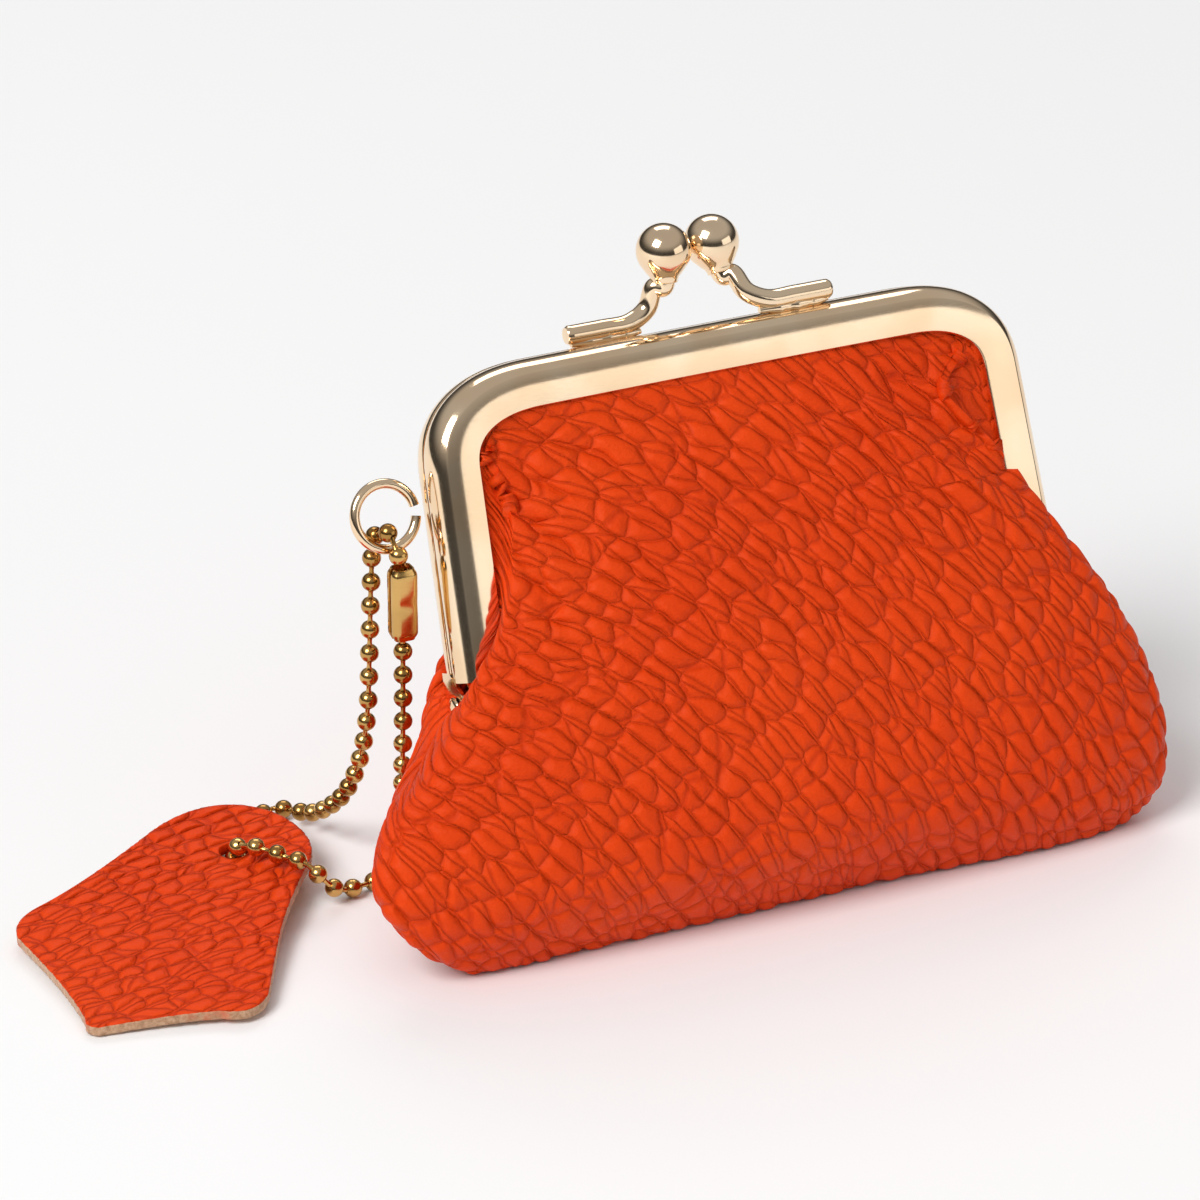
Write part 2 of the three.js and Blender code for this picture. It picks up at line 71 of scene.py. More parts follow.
FRAME_HALF_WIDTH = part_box("rear_frame")[1].x / MM
FRAME_HEIGHT = 41.2
FRAME_FLARE = math.tan(math.radians(2))
FRAME_ARCH = 0.24
CORNER_ACROSS = 15.9
CORNER_UP = 12.0
CORNER_POWER = 2.32
HALF_DEPTH = 4.0
FLANGE_REACH = 6.0
SHEET = 0.5

EAR_RADIUS = 3.2
EAR_ROOM = 0.35
EAR_SHEET = 0.5
EAR_SPACING = 0.5
NECK_NEAR = 0.35
NECK_FAR = 2.6
PIN_RADIUS = 0.9
PIN_END = 0.2
HEAD_RADIUS = 1.7
HEAD_HEIGHT = 0.6

ROD_RADIUS = 1.25
BALL_RADIUS = 3.5
BALL_SPACING = 7.3
BALL_CROSS = 0.6
BALL_HEIGHT = 9.9
FOOT_OUTER = 17.6
FOOT_INNER = 7.6
CLASP_OFFSET = -1.2
FOOT_HEIGHT = FRAME_HEIGHT + ROD_RADIUS + 0.3
COLLAR_RADIUS = 1.72
SOLDER_RADIUS = 0.85
SOLDER_HEIGHT = 0.42

RING_RADIUS = 4.05
RING_WIRE = 0.65
RING_MIDDLE = (-46.62, 25.1)
RING_GAP = 0.16

POUCH_DROP = 37.0
WIDEST_DROP = 20.0
TUCK = 2.4
CHANNEL_DEPTH = 3.3
FLOOR_CLEARANCE = 0.12
FLOOR_SOFTNESS = 0.6
LOWEST_POINT = 0.05
LEATHER = 1.1
LINING_INSET = 1.6
LINING_SHEET = 0.35

# The belly is fullest up to one height and has flattened to the flange at BELLY_TOP.
BELLY_TOP = 35.2
FRONT_BELLY = 10.4
FRONT_FULL_TO = -14.0
FRONT_CURVE_UNDER = 23.0
REAR_BELLY = 23.4
REAR_FULL_TO = -22.0
REAR_CURVE_UNDER = 12.0

CELL_ACROSS = 2.55
CELL_DOWN = 4.4
PANEL_RELIEF = 0.50
TAG_RELIEF = 0.34

STITCH_PITCH = 3.4
STITCH_LENGTH = 1.9
STITCH_RADIUS = 0.28

BEAD_RADIUS = 1.2
BEAD_PITCH = 3.2
LINK_RADIUS = 0.36
CONNECTOR_LENGTH = 9.6
CONNECTOR_WIDTH = 3.4
CONNECTOR_DEPTH = 3.0

TAG_THICKNESS = 1.5
TAG_HOLE_RADIUS = 2.2
TAG_HEADING = math.radians(225)
TAG_SLOPE = 3.0 / 45
TAG_OUTLINE_POINTS = 300
TAG_TOP_ROWS = 64

HALF_NAME = {1: "front", -1: "rear"}

# The chain's route, in metres, from the top of its connector, over the ring, down to
# the floor, under the tag, through its hole and back up to the connector.
CHAIN_ROUTE = [
    (-0.0460, 0.0077, 0.0462),
    (-0.0467, 0.0075, 0.0478),
    (-0.0472, 0.0093, 0.0501),
    (-0.0478, 0.0121, 0.0486),
    (-0.0482, 0.0124, 0.0430),
    (-0.0486, 0.0124, 0.0340),
    (-0.0490, 0.0126, 0.0245),
    (-0.0492, 0.0148, 0.0170),
    (-0.0495, 0.0188, 0.0106),
    (-0.0499, 0.0238, 0.0060),
    (-0.0504, 0.0286, 0.0030),
    (-0.0512, 0.0326, 0.0016),
    (-0.0530, 0.0348, 0.0013),
    (-0.0558, 0.0333, 0.0013),
    (-0.0590, 0.0290, 0.0013),
    (-0.0624, 0.0243, 0.00135),
    (-0.0636, 0.0225, 0.0019),
    (-0.06405, 0.0214, 0.0032),
    (-0.06415, 0.0206, 0.0046),
    (-0.0639, 0.0192, 0.0059),
    (-0.0626, 0.0171, 0.0063),
    (-0.0605, 0.0138, 0.0062),
    (-0.0585, 0.0106, 0.0060),
    (-0.0564, 0.0094, 0.0036),
    (-0.0544, 0.0099, 0.0018),
    (-0.0514, 0.0106, 0.0013),
    (-0.0482, 0.0114, 0.0013),
    (-0.0456, 0.0130, 0.0018),
    (-0.0442, 0.0139, 0.0045),
    (-0.0444, 0.0128, 0.0085),
    (-0.0454, 0.0104, 0.0130),
    (-0.0461, 0.0086, 0.0180),
    (-0.0462, 0.0080, 0.0240),
    (-0.0461, 0.0078, 0.0360),
]

# ---------- small mathematics


def place(u, v, w):
    """Leaning coordinates in millimetres as points of the row frame in metres."""
    u, v, w = np.broadcast_arrays(*(np.asarray(k, float) for k in (u, v, w)))
    y = v * math.sin(LEAN) - w * math.cos(LEAN)
    z = HINGE_HEIGHT + v * math.cos(LEAN) + w * math.sin(LEAN)
    return np.stack([u, y, z], -1) * MM


def smoothstep(x, low, high):
    t = np.clip((np.asarray(x, float) - low) / (high - low), 0, 1)
    return t * t * (3 - 2 * t)


def hermite(t, gap, start, start_slope, end, end_slope):
    """The cubic across a gap with these values and slopes at its ends, at a share t of it."""
    return (
        (2 * t**3 - 3 * t**2 + 1) * start
        + (t**3 - 2 * t**2 + t) * gap * start_slope
        + (3 * t**2 - 2 * t**3) * end
        + (t**3 - t**2) * gap * end_slope
    )


def through(x, *pairs):
    """A smooth curve through (x, value) pairs in rising order of x, flat beyond them."""
    px, py = np.array(pairs, float).T
    slope = np.gradient(py, px)
    slope[[0, -1]] = 0
    x = np.clip(np.asarray(x, float), px[0], px[-1])
    k = np.clip(np.searchsorted(px, x) - 1, 0, len(px) - 2)
    h = px[k + 1] - px[k]
    return hermite((x - px[k]) / h, h, py[k], slope[k], py[k + 1], slope[k + 1])


def spline(points, steps=12):
    """Points along a centripetal Catmull-Rom curve through the given points."""
    p = np.array(points, float)
    p = np.vstack([2 * p[0] - p[1], p, 2 * p[-1] - p[-2]])
    gaps = np.sqrt(np.linalg.norm(np.diff(p, axis=0), axis=1))
    out = []
    for i in range(len(p) - 3):
        a, b, c = gaps[i : i + 3]
        m1 = (p[i + 1] - p[i]) / a - (p[i + 2] - p[i]) / (a + b) + (p[i + 2] - p[i + 1]) / b
        m2 = (p[i + 2] - p[i + 1]) / b - (p[i + 3] - p[i + 1]) / (b + c) + (p[i + 3] - p[i + 2]) / c
        for t in np.arange(steps) / steps:
            out.append(hermite(t, b, p[i + 1], m1, p[i + 2], m2))
    out.append(p[-2])
    return np.array(out)


def reach_of(path):
    """How far along a polyline each of its points is."""
    return np.concatenate([[0], np.cumsum(np.linalg.norm(np.diff(path, axis=0), axis=1))])


def at(path, distance):
    """The points at distances along a polyline."""
    reach = reach_of(path)
    return np.stack([np.interp(distance, reach, column) for column in path.T], -1)


def along(path, distances):
    """Points and directions at distances along a polyline."""
    near = reach_of(path)[-1] * 1e-3
    ahead = at(path, np.asarray(distances) + near) - at(path, np.asarray(distances) - near)
    return at(path, distances), ahead / np.linalg.norm(ahead, axis=-1, keepdims=True)


# ---------- mesh helpers


def add_mesh(name, points, faces, material, sharp):
    """A smooth mesh with sharp edges above an angle in degrees, or with none for 0."""
    mesh = bpy.data.meshes.new(name)
    mesh.from_pydata(np.asarray(points, float).reshape(-1, 3).tolist(), [], faces)
    mesh.polygons.foreach_set("use_smooth", [True] * len(mesh.polygons))
    mesh.update()
    if sharp:
        mesh.set_sharp_from_angle(angle=math.radians(sharp))
    mesh.materials.append(material)
    piece = bpy.data.objects.new(name, mesh)
    bpy.context.scene.collection.objects.link(piece)
    return piece


def grid_faces(rows, columns, closed=False, flip=False):
    """Quads between rows of points, closed across if the last column meets the first."""
    faces = []
    for j in range(rows - 1):
        for i in range(columns if closed else columns - 1):
            a = j * columns + i
            b = j * columns + (i + 1) % columns
            quad = (a, b, b + columns, a + columns)
            faces.append(quad[::-1] if flip else quad)
    return faces


class Shape:
    """Points and faces of a piece that is made of several closed parts."""

    def __init__(self):
        self.points = []
        self.faces = []

    def rings(self, rings, flip=False, looped=False):
        """A skin through equal rings of points: capped, or looped back to the first ring."""
        rings = np.asarray(rings, float)
        if looped:
            rings = np.concatenate([rings, rings[:1]])
        count, sides = rings.shape[:2]
        start = len(self.points)
        self.points += rings[: count - 1 if looped else count].reshape(-1, 3).tolist()
        total = (count - 1) * sides if looped else count * sides
        for quad in grid_faces(count, sides, closed=True, flip=flip):
            self.faces.append(tuple(start + k % total for k in quad))
        if not looped:
            first = tuple(start + i for i in range(sides))
            last = tuple(start + (count - 1) * sides + i for i in range(sides))
            self.faces.append(first if flip else first[::-1])
            self.faces.append(last[::-1] if flip else last)
        return self

    def tube(self, path, radius, sides):
        """A tube along a path in metres, with a radius in millimetres."""
        return self.rings(tube_rings(path, radius * MM, sides))

    def made(self, name, material, sharp=40):
        return add_mesh(name, self.points, self.faces, material, sharp)


def circle(sides, side, up):
    angle = np.arange(sides) * 2 * math.pi / sides
    return np.outer(np.cos(angle), side) + np.outer(np.sin(angle), up)


def tube_rings(path, radius, sides):
    """Rings of points round a path, turning no more than it has to."""
    path = np.asarray(path, float)
    radius = np.broadcast_to(radius, len(path))
    tangent = np.gradient(path, axis=0)
    tangent /= np.linalg.norm(tangent, axis=1, keepdims=True)
    side = np.cross(tangent[0], (0.31, 0.42, 0.85))
    rings = []
    for point, ahead, r in zip(path, tangent, radius):
        side = side - ahead * (side @ ahead)
        side /= np.linalg.norm(side)
        rings.append(point + r * circle(sides, side, np.cross(ahead, side)))
    return np.array(rings)


def turned(profile, origin, axis, sides):
    """Rings of a turned part, from (radius, distance along the axis) pairs in millimetres."""
    axis = np.asarray(axis, float)
    axis = axis / np.linalg.norm(axis)
    side = np.cross(axis, (0.3, 0.9, 0.2))
    side /= np.linalg.norm(side)
    ring = circle(sides, side, np.cross(axis, side))
    return [np.asarray(origin) + d * MM * axis + max(r * MM, 1e-6) * ring for r, d in profile]


# ---------- camera

hinge = Vector(joints["frame_hinge"]["pos_m"])
azimuth = math.radians(-27.9)
elevation = math.radians(26)
camera_distance = 0.6946
aim_left = 0.0206
aim_up = 0.0053
lens_mm = 165
look = Vector((
    -math.sin(azimuth) * math.cos(elevation),
    math.cos(azimuth) * math.cos(elevation),
    -math.sin(elevation),
))
right = Vector((math.cos(azimuth), math.sin(azimuth), 0))
upward = right.cross(look)
camera = bpy.data.objects.new("camera", bpy.data.cameras.new("camera"))
bpy.context.scene.collection.objects.link(camera)
camera.data.lens = lens_mm
camera.data.sensor_width = 36
camera.data.clip_start = 0.01
camera.location = hinge - look * camera_distance
aim = hinge - right * aim_left + upward * aim_up
camera.rotation_mode = "QUATERNION"
camera.rotation_quaternion = (aim - camera.location).to_track_quat("-Z", "Y")
bpy.context.scene.camera = camera

# ---------- materials


class Nodes:
    """A small writer of node trees: each call adds a node and returns an output socket."""

    def __init__(self, tree):
        self.tree = tree

    def add(self, kind, values=None, links=None, out=0, **settings):
        node = self.tree.nodes.new(kind)
        for key, value in settings.items():
            setattr(node, key, value)
        for key, value in (values or {}).items():
            node.inputs[key].default_value = value
        for key, socket in (links or {}).items():
            self.tree.links.new(socket, node.inputs[key])
        return node.outputs[out]

    def math(self, operation, a, b):
        values, links = {}, {}
        for index, value in enumerate((a, b)):
            (links if hasattr(value, "is_linked") else values)[index] = value
        return self.add("ShaderNodeMath", values, links, operation=operation)

    def remap(self, value, low, high, to_low=0.0, to_high=1.0):
        values = {1: low, 2: high, 3: to_low, 4: to_high}
        return self.add("ShaderNodeMapRange", values, {0: value}, interpolation_type="SMOOTHSTEP")

    def scaled(self, vector, scale):
        values = {1: scale}
        return self.add("ShaderNodeVectorMath", values, {0: vector}, operation="MULTIPLY")

    def noise(self, vector, scale, detail, rough=0.5):
        values = {"Scale": scale, "Detail": detail, "Roughness": rough}
        return self.add("ShaderNodeTexNoise", values, {"Vector": vector})

    def mix(self, factor, a, b):
        node = self.tree.nodes.new("ShaderNodeMix")
        node.data_type = "RGBA"
        for index, value in ((6, a), (7, b)):
            if hasattr(value, "is_linked"):
                self.tree.links.new(value, node.inputs[index])
            else:
                node.inputs[index].default_value = (*value, 1)
        self.tree.links.new(factor, node.inputs[0])
        return node.outputs[2]


def new_material(name):
    """A new material, with the writer of its nodes and its shader."""
    material = bpy.data.materials.new(name)
    material.use_nodes = True
    tree = material.node_tree
    return material, Nodes(tree), tree.nodes["Principled BSDF"]


def set_inputs(nodes, shader, **values):
    """Gives the shader's inputs a value, or joins them to another node's output."""
    names = {
        "colour": "Base Color",
        "metallic": "Metallic",
        "roughness": "Roughness",
        "specular": "Specular IOR Level",
        "tint": "Specular Tint",
        "sheen": "Sheen Weight",
        "sheen_roughness": "Sheen Roughness",
    }
    for key, value in values.items():
        socket = shader.inputs[names[key]]
        if hasattr(value, "is_linked"):
            nodes.tree.links.new(value, socket)
        else:
            socket.default_value = value


def bump(nodes, shader, height, distance, strength=1.0, normal=None):
    links = {"Height": height}
    if normal is not None:
        links["Normal"] = normal
    out = nodes.add("ShaderNodeBump", {"Strength": strength, "Distance": distance}, links)
    nodes.tree.links.new(out, shader.inputs["Normal"])


def object_place(nodes):
    return nodes.add("ShaderNodeTexCoord", out=3)


def gold(name, light, deep, roughness, waves):
    """Polished plating: a little uneven in colour and gloss, with fine rub marks."""
    material, nodes, shader = new_material(name)
    spot = object_place(nodes)
    tone = nodes.remap(nodes.noise(spot, 90, 2), 0.35, 0.65)
    rub = nodes.noise(nodes.scaled(spot, (1, 1, 9)), 700, 4, 0.6)
    gloss = nodes.remap(rub, 0.3, 0.8, roughness, roughness * 1.6)
    set_inputs(nodes, shader, metallic=1.0, colour=nodes.mix(tone, light, deep), roughness=gloss)
    bump(nodes, shader, nodes.noise(spot, 160, 1), waves)
    return material


def cell_pattern(nodes, grain):
    """Height from 0 in the creases to 1 on the cells, and how much each spot is a crease, the mask for
    the leather's painted crease shade.
    """
    drift = nodes.add("ShaderNodeTexNoise", {"Scale": 0.5, "Detail": 2.0}, {"Vector": grain}, out=1)
    shift = nodes.add("ShaderNodeVectorMath", {1: (0.5, 0.5, 0.5)}, {0: drift}, operation="SUBTRACT")
    shift = nodes.scaled(shift, (0.9, 0.9, 0.0))
    warped = nodes.add("ShaderNodeVectorMath", {}, {0: grain, 1: shift}, operation="ADD")

    def cells(vector, feature):
        values, links = {"Scale": 1.0, "Randomness": 0.72}, {"Vector": vector}
        return nodes.add("ShaderNodeTexVoronoi", values, links, feature=feature, voronoi_dimensions="2D")

    edge = cells(warped, "DISTANCE_TO_EDGE")
    core = cells(warped, "F1")
    row = cells(nodes.scaled(warped, (1.0, 0.42, 1.0)), "DISTANCE_TO_EDGE")
    dome = nodes.math("SUBTRACT", 1.0, nodes.math("MULTIPLY", nodes.math("POWER", core, 2.0), 1.5))
    wall = nodes.math("POWER", nodes.remap(edge, 0.0, 0.30), 0.7)
    ridge = nodes.math("POWER", nodes.remap(row, 0.0, 0.26), 0.7)
    height = nodes.math("ADD", nodes.math("MULTIPLY", wall, 0.42), nodes.math("MULTIPLY", dome, 0.30))
    height = nodes.math("ADD", height, nodes.math("MULTIPLY", ridge, 0.28))
    crease = nodes.remap(edge, 0.0, 0.085, 0.75, 0.0)
    deep = nodes.remap(row, 0.0, 0.075, 1.0, 0.0)
    return height, nodes.math("MAXIMUM", crease, deep)


def leather_material(name, painted_crease_shade):
    """Drum-dyed grained leather. Its second argument is how much painted shade darkens the creases
    between its cells.
    """
    material, nodes, shader = new_material(name)
    grain = nodes.add("ShaderNodeAttribute", attribute_name="grain", out=1)
    spot = object_place(nodes)
    height, crease = cell_pattern(nodes, grain)
    patch = nodes.remap(nodes.noise(spot, 45, 3), 0.3, 0.7)
    fibre = nodes.noise(spot, 2600, 4, 0.65)
    face = nodes.mix(patch, (0.82, 0.058, 0.003), (0.76, 0.046, 0.002))
    face = nodes.mix(nodes.remap(fibre, 0.35, 0.75, 0.0, 0.3), face, (0.87, 0.080, 0.006))
    # Painted shade: the creases between the cells are darkened in colour towards a deep red.
    colour_with_painted_crease_shade = nodes.mix(nodes.math("MULTIPLY", crease, painted_crease_shade), face, (0.40, 0.012, 0.001))
    gloss = nodes.remap(fibre, 0.3, 0.7, 0.42, 0.58)
    warm = (1.0, 0.62, 0.45, 1)
    set_inputs(nodes, shader, colour=colour_with_painted_crease_shade, roughness=gloss, specular=0.26, tint=warm)
    groove = nodes.math("SUBTRACT", height, nodes.math("MULTIPLY", crease, 0.25))
    first = nodes.add("ShaderNodeBump", {"Strength": 1.0, "Distance": 0.00048}, {"Height": groove})
    wrinkle = nodes.noise(nodes.scaled(grain, (1.0, 2.2, 1.0)), 5.0, 5, 0.62)
    second = nodes.add(
        "ShaderNodeBump", {"Strength": 0.8, "Distance": 0.00016}, {"Height": wrinkle, "Normal": first}
    )
    bump(nodes, shader, fibre, 0.00002, 0.8, second)
    return material


def suede_material():
    """The cut edge and flesh side of the leather: tan, fibrous and dull."""
    material, nodes, shader = new_material("leather_flesh")
    set_inputs(nodes, shader, roughness=0.92, specular=0.15, sheen=0.25, sheen_roughness=0.6)
    spot = object_place(nodes)
    fibre = nodes.noise(spot, 1500, 6, 0.7)
    patch = nodes.noise(spot, 220, 3)
    colour = nodes.mix(nodes.remap(fibre, 0.3, 0.7), (0.40, 0.19, 0.09), (0.72, 0.45, 0.28))
    colour = nodes.mix(nodes.remap(patch, 0.55, 0.75), colour, (0.62, 0.13, 0.05))
    set_inputs(nodes, shader, colour=colour)
    bump(nodes, shader, fibre, 0.00015)
    return material


def woven_material(name, light, dark, pitch):
    """A plain weave: two sets of threads that cross, with the higher one showing and the low places
    between them darkened as painted shade.
    """
    material, nodes, shader = new_material(name)
    set_inputs(nodes, shader, roughness=0.88, specular=0.2, sheen=0.3, sheen_roughness=0.5)
    grain = nodes.add("ShaderNodeAttribute", attribute_name="grain", out=1)
    values = {"Scale": 1.0 / pitch, "Distortion": 0.3, "Detail": 1.0, "Detail Scale": 3.0}
    threads = []
    for direction in ("X", "Y"):
        links = {"Vector": grain}
        thread = nodes.add("ShaderNodeTexWave", values, links, out=1, bands_direction=direction)
        threads.append(thread)
    height = nodes.math("MAXIMUM", *threads)
    fuzz = nodes.noise(grain, 6.0 / pitch, 3)
    # Painted shade: the low places between the threads are darker in colour.
    colour = nodes.mix(nodes.remap(height, 0.35, 0.95), dark, light)
    colour = nodes.mix(nodes.remap(fuzz, 0.4, 0.8, 0.0, 0.3), colour, light)
    set_inputs(nodes, shader, colour=colour)
    bump(nodes, shader, height, 0.00008)
    return material


def twisted_material(name, light, dark, pitch):
    """A twisted cord or thread, darker in colour in the grooves between its plies as painted shade."""
    material, nodes, shader = new_material(name)
    spot = object_place(nodes)
    values = {"Scale": 1.0 / pitch, "Distortion": 1.5}
    ply = nodes.add("ShaderNodeTexWave", values, {"Vector": spot}, out=1, bands_direction="DIAGONAL")
    # Painted shade: the grooves between the plies are darker in colour.
    set_inputs(nodes, shader, colour=nodes.mix(ply, dark, light), roughness=0.85, specular=0.2)
    bump(nodes, shader, ply, 0.00006)
    return material


FRAME_GOLD = gold("frame_gold", (0.97, 0.76, 0.53), (0.92, 0.67, 0.43), 0.09, 0.000012)
CHAIN_GOLD = gold("chain_gold", (0.72, 0.44, 0.15), (0.42, 0.22, 0.06), 0.16, 0.00004)
# The second number of each is how much painted shade darkens the leather's creases.
LEATHER_LOOK = leather_material("orange_leather", 0.30)
TAG_LOOK = leather_material("tag_leather", 0.45)
SUEDE = suede_material()
# The darker colour of the cloth, cord and thread is painted shade for the low places in their weave or
# twist.
LINING_LOOK = woven_material("lining_cloth", (0.42, 0.10, 0.05), (0.16, 0.03, 0.015), 0.32)
PAPER = twisted_material("paper_cord", (0.62, 0.48, 0.30), (0.36, 0.25, 0.13), 0.006)
THREAD = twisted_material("sewing_thread", (0.52, 0.09, 0.02), (0.22, 0.03, 0.01), 0.003)

# ---------- frame outline


def half_outline(steps):
    """The frame's outline from the hinge to the middle of its top, as (u, v) rows."""
    rise = np.linspace(0, FRAME_HEIGHT - CORNER_UP, steps, endpoint=False)
    side = np.stack([np.full(steps, FRAME_HALF_WIDTH), rise], -1)
    across = FRAME_HALF_WIDTH - CORNER_ACROSS
    a = np.linspace(0, math.pi / 2, 3 * steps)
    power = 2 / CORNER_POWER
    corner = np.stack([
        across + CORNER_ACROSS * np.cos(a).clip(0) ** power,
        FRAME_HEIGHT - CORNER_UP + CORNER_UP * np.sin(a) ** power,
    ], -1)
    top_u = np.linspace(across, 0, steps + 1)[1:]
    top = np.stack([top_u, np.full(steps, FRAME_HEIGHT)], -1)
    u, v = np.concatenate([side, corner, top]).T
    u = u - FRAME_FLARE * v * (u / FRAME_HALF_WIDTH)
    v = v - FRAME_ARCH * (u / FRAME_HALF_WIDTH) ** 2
    return np.stack([u, v], -1)


def whole_outline(steps):
    half = half_outline(steps)
    return np.concatenate([half, (half * (-1, 1))[-2::-1]])


def moved_in(outline, distance):
    """The outline, moved towards the inside by a distance."""
    ahead = np.gradient(outline, axis=0)
    ahead /= np.linalg.norm(ahead, axis=1, keepdims=True)
    return outline + distance * np.stack([-ahead[:, 1], ahead[:, 0]], -1)


FINE_OUTLINE = whole_outline(24)


def half_width_at(v, inward):
    """Half the frame's width at height v, measured to a line a distance in from its outline."""
    line = moved_in(whole_outline(40), inward)
    line = line[: len(line) // 2 + 1]
    keep = np.concatenate([[True], np.diff(line[:, 1]) > 1e-4])
    u, height = line[keep].T
    return np.interp(v, height, u, right=0.0)


# ---------- metal frame

# The channel's section as (inward, depth): the flange's lip, its flat face with a crisp
# outer edge, the round web, the seam between the halves, and back along the inside.
CHANNEL = [
    (6.00, 3.62),
    (5.97, 3.85),
    (5.85, 3.97),
    (5.60, 4.00),
    (3.60, 4.02),
    (1.75, 4.00),
    (1.58, 3.95),
    (1.44, 3.84),
    (1.05, 3.52),
    (0.62, 3.02),
    (0.28, 2.38),
    (0.07, 1.62),
    (0.00, 0.90),
    (0.00, 0.30),
    (0.06, 0.17),
    (0.20, 0.15),
    (5.80, 0.15),
    (6.00, 0.25),
    (6.00, 0.65),
    (0.60, 0.65),
    (0.50, 0.90),
    (0.60, 1.55),
    (0.80, 2.20),
    (1.30, 3.00),
    (1.80, 3.50),
]


def frame_half(side):
    """One channel, with an ear and a neck at each end. side is 1 in front, -1 behind."""
    shape = Shape()
    room = EAR_RADIUS + EAR_ROOM
    start = np.searchsorted(FINE_OUTLINE[: len(FINE_OUTLINE) // 2, 1], room * 0.95)
    inside = slice(start, len(FINE_OUTLINE) - start)
    rings = []
    for inward, depth in CHANNEL:
        line = moved_in(FINE_OUTLINE, inward)[inside]
        rings.append(place(line[:, 0], line[:, 1], side * depth))
    shape.rings(np.swapaxes(rings, 0, 1), flip=side > 0)
    web = FRAME_HALF_WIDTH
    ear_outer = web - SHEET - EAR_SPACING if side > 0 else web
    for end in (-1, 1):
        outline = []
        for a in np.linspace(math.radians(155), math.radians(385), 30):
            outline.append((EAR_RADIUS * math.cos(a), EAR_RADIUS * math.sin(a)))
        low, high = (NECK_NEAR, NECK_FAR) if side > 0 else (-NECK_FAR, -NECK_NEAR)
        outline += [(high, room * 1.3), (low, room * 1.3)]
        layers = [end * (ear_outer - EAR_SHEET), end * ear_outer]
        plates = [[place(u, v, w) for w, v in outline] for u in layers]
        shape.rings(plates, flip=end < 0)
    return shape.made(f"{HALF_NAME[side]}_frame_channel", FRAME_GOLD, sharp=38)


def rivet(end):
    """A hinge rivet, at the left for an end of -1 and at the right for 1."""
    inner = FRAME_HALF_WIDTH - SHEET - EAR_SPACING - EAR_SHEET - PIN_END
    outer = FRAME_HALF_WIDTH + PIN_END
    profile = [
        (0, inner - HEAD_HEIGHT),
        (HEAD_RADIUS * 0.7, inner - 0.58),
        (HEAD_RADIUS * 0.95, inner - 0.4),
        (HEAD_RADIUS, inner - 0.15),
        (HEAD_RADIUS, inner),
        (PIN_RADIUS, inner),
        (PIN_RADIUS, outer),
    ]
    for a in np.linspace(0, math.pi / 2, 8):
        profile.append((HEAD_RADIUS * math.cos(a), outer + HEAD_HEIGHT * math.sin(a)))
    rings = turned(profile, place(0, 0, 0), (end, 0, 0), 28)
    side = "right" if end > 0 else "left"
    return Shape().rings(rings).made(f"hinge_rivet_{side}_turned", FRAME_GOLD, 45)


# ---------- clasp


def clasp_curve(side):
    w = side * HALF_DEPTH * 0.5
    ball_u = side * BALL_SPACING / 2
    ball_v = FRAME_HEIGHT + BALL_HEIGHT
    points = [
        (side * FOOT_OUTER, FOOT_HEIGHT, w),
        (side * (FOOT_OUTER + FOOT_INNER) * 0.5, FOOT_HEIGHT, w),
        (side * (FOOT_INNER + 1.2), FOOT_HEIGHT + 0.1, w),
        (side * (FOOT_INNER - 1.4), FOOT_HEIGHT + 1.5, w * 0.85),
        (ball_u + side * 1.5, FOOT_HEIGHT + 4.0, w * 0.3),
        (ball_u + side * 0.6, ball_v - BALL_RADIUS - 1.0, 0),
        (ball_u + side * 0.2, ball_v - BALL_RADIUS + 1.2, -side * BALL_CROSS * 0.5),
    ]
    return spline([place(u + CLASP_OFFSET, v, t) for u, v, t in points], 14)


def clasp_rod(side):
    """The bent rod, swelling into a neck below the ball, with solder along its foot."""
    path = clasp_curve(side)
    share = np.linspace(0, 1, len(path))
    radius = ROD_RADIUS + 0.22 * smoothstep(share, 0.80, 1.0)
    end_round = np.sqrt(1 - (1 - np.clip(share / 0.012, 0, 1)) ** 2) * 0.18 + 0.82
    shape = Shape().tube(path, radius * end_round, 24)
    foot = np.linspace(side * (FOOT_OUTER - 0.5), side * (FOOT_INNER - 0.2), 18) + CLASP_OFFSET
    height = FRAME_HEIGHT - FRAME_ARCH * (foot / FRAME_HALF_WIDTH) ** 2 + SOLDER_HEIGHT
    wave = 1 + 0.12 * np.sin(foot * 2.3) + 0.08 * np.sin(foot * 5.1)
    taper = np.sin(np.linspace(0.12, math.pi - 0.12, 18)) ** 0.4
    seat = place(foot, height, side * HALF_DEPTH * 0.5)
    shape.tube(seat, SOLDER_RADIUS * wave * taper, 14)
    return shape.made(f"{HALF_NAME[side]}_clasp_lever", FRAME_GOLD, 50)


def clasp_ball(side):
    """A polished ball with a short collar round the rod."""
    ball_u = side * BALL_SPACING / 2 + CLASP_OFFSET
    centre = place(ball_u, FRAME_HEIGHT + BALL_HEIGHT, -side * BALL_CROSS)
    down = clasp_curve(side)[-9] - centre
    down /= np.linalg.norm(down)
    bottom = math.acos(0.52)
    profile = []
    for a in np.linspace(0, math.pi - bottom, 40):
        profile.append((BALL_RADIUS * math.sin(a), -BALL_RADIUS * math.cos(a)))
    profile += [
        (COLLAR_RADIUS + 0.55, BALL_RADIUS * 0.80),
        (COLLAR_RADIUS + 0.22, BALL_RADIUS * 0.90),
        (COLLAR_RADIUS, BALL_RADIUS * 1.02),
        (COLLAR_RADIUS - 0.02, BALL_RADIUS * 1.12),
        (COLLAR_RADIUS - 0.14, BALL_RADIUS * 1.15),
        (0, BALL_RADIUS * 1.15),
    ]
    rings = turned(profile, centre, down, 48)
    return Shape().rings(rings).made(f"{HALF_NAME[side]}_clasp_knob", FRAME_GOLD, 60)


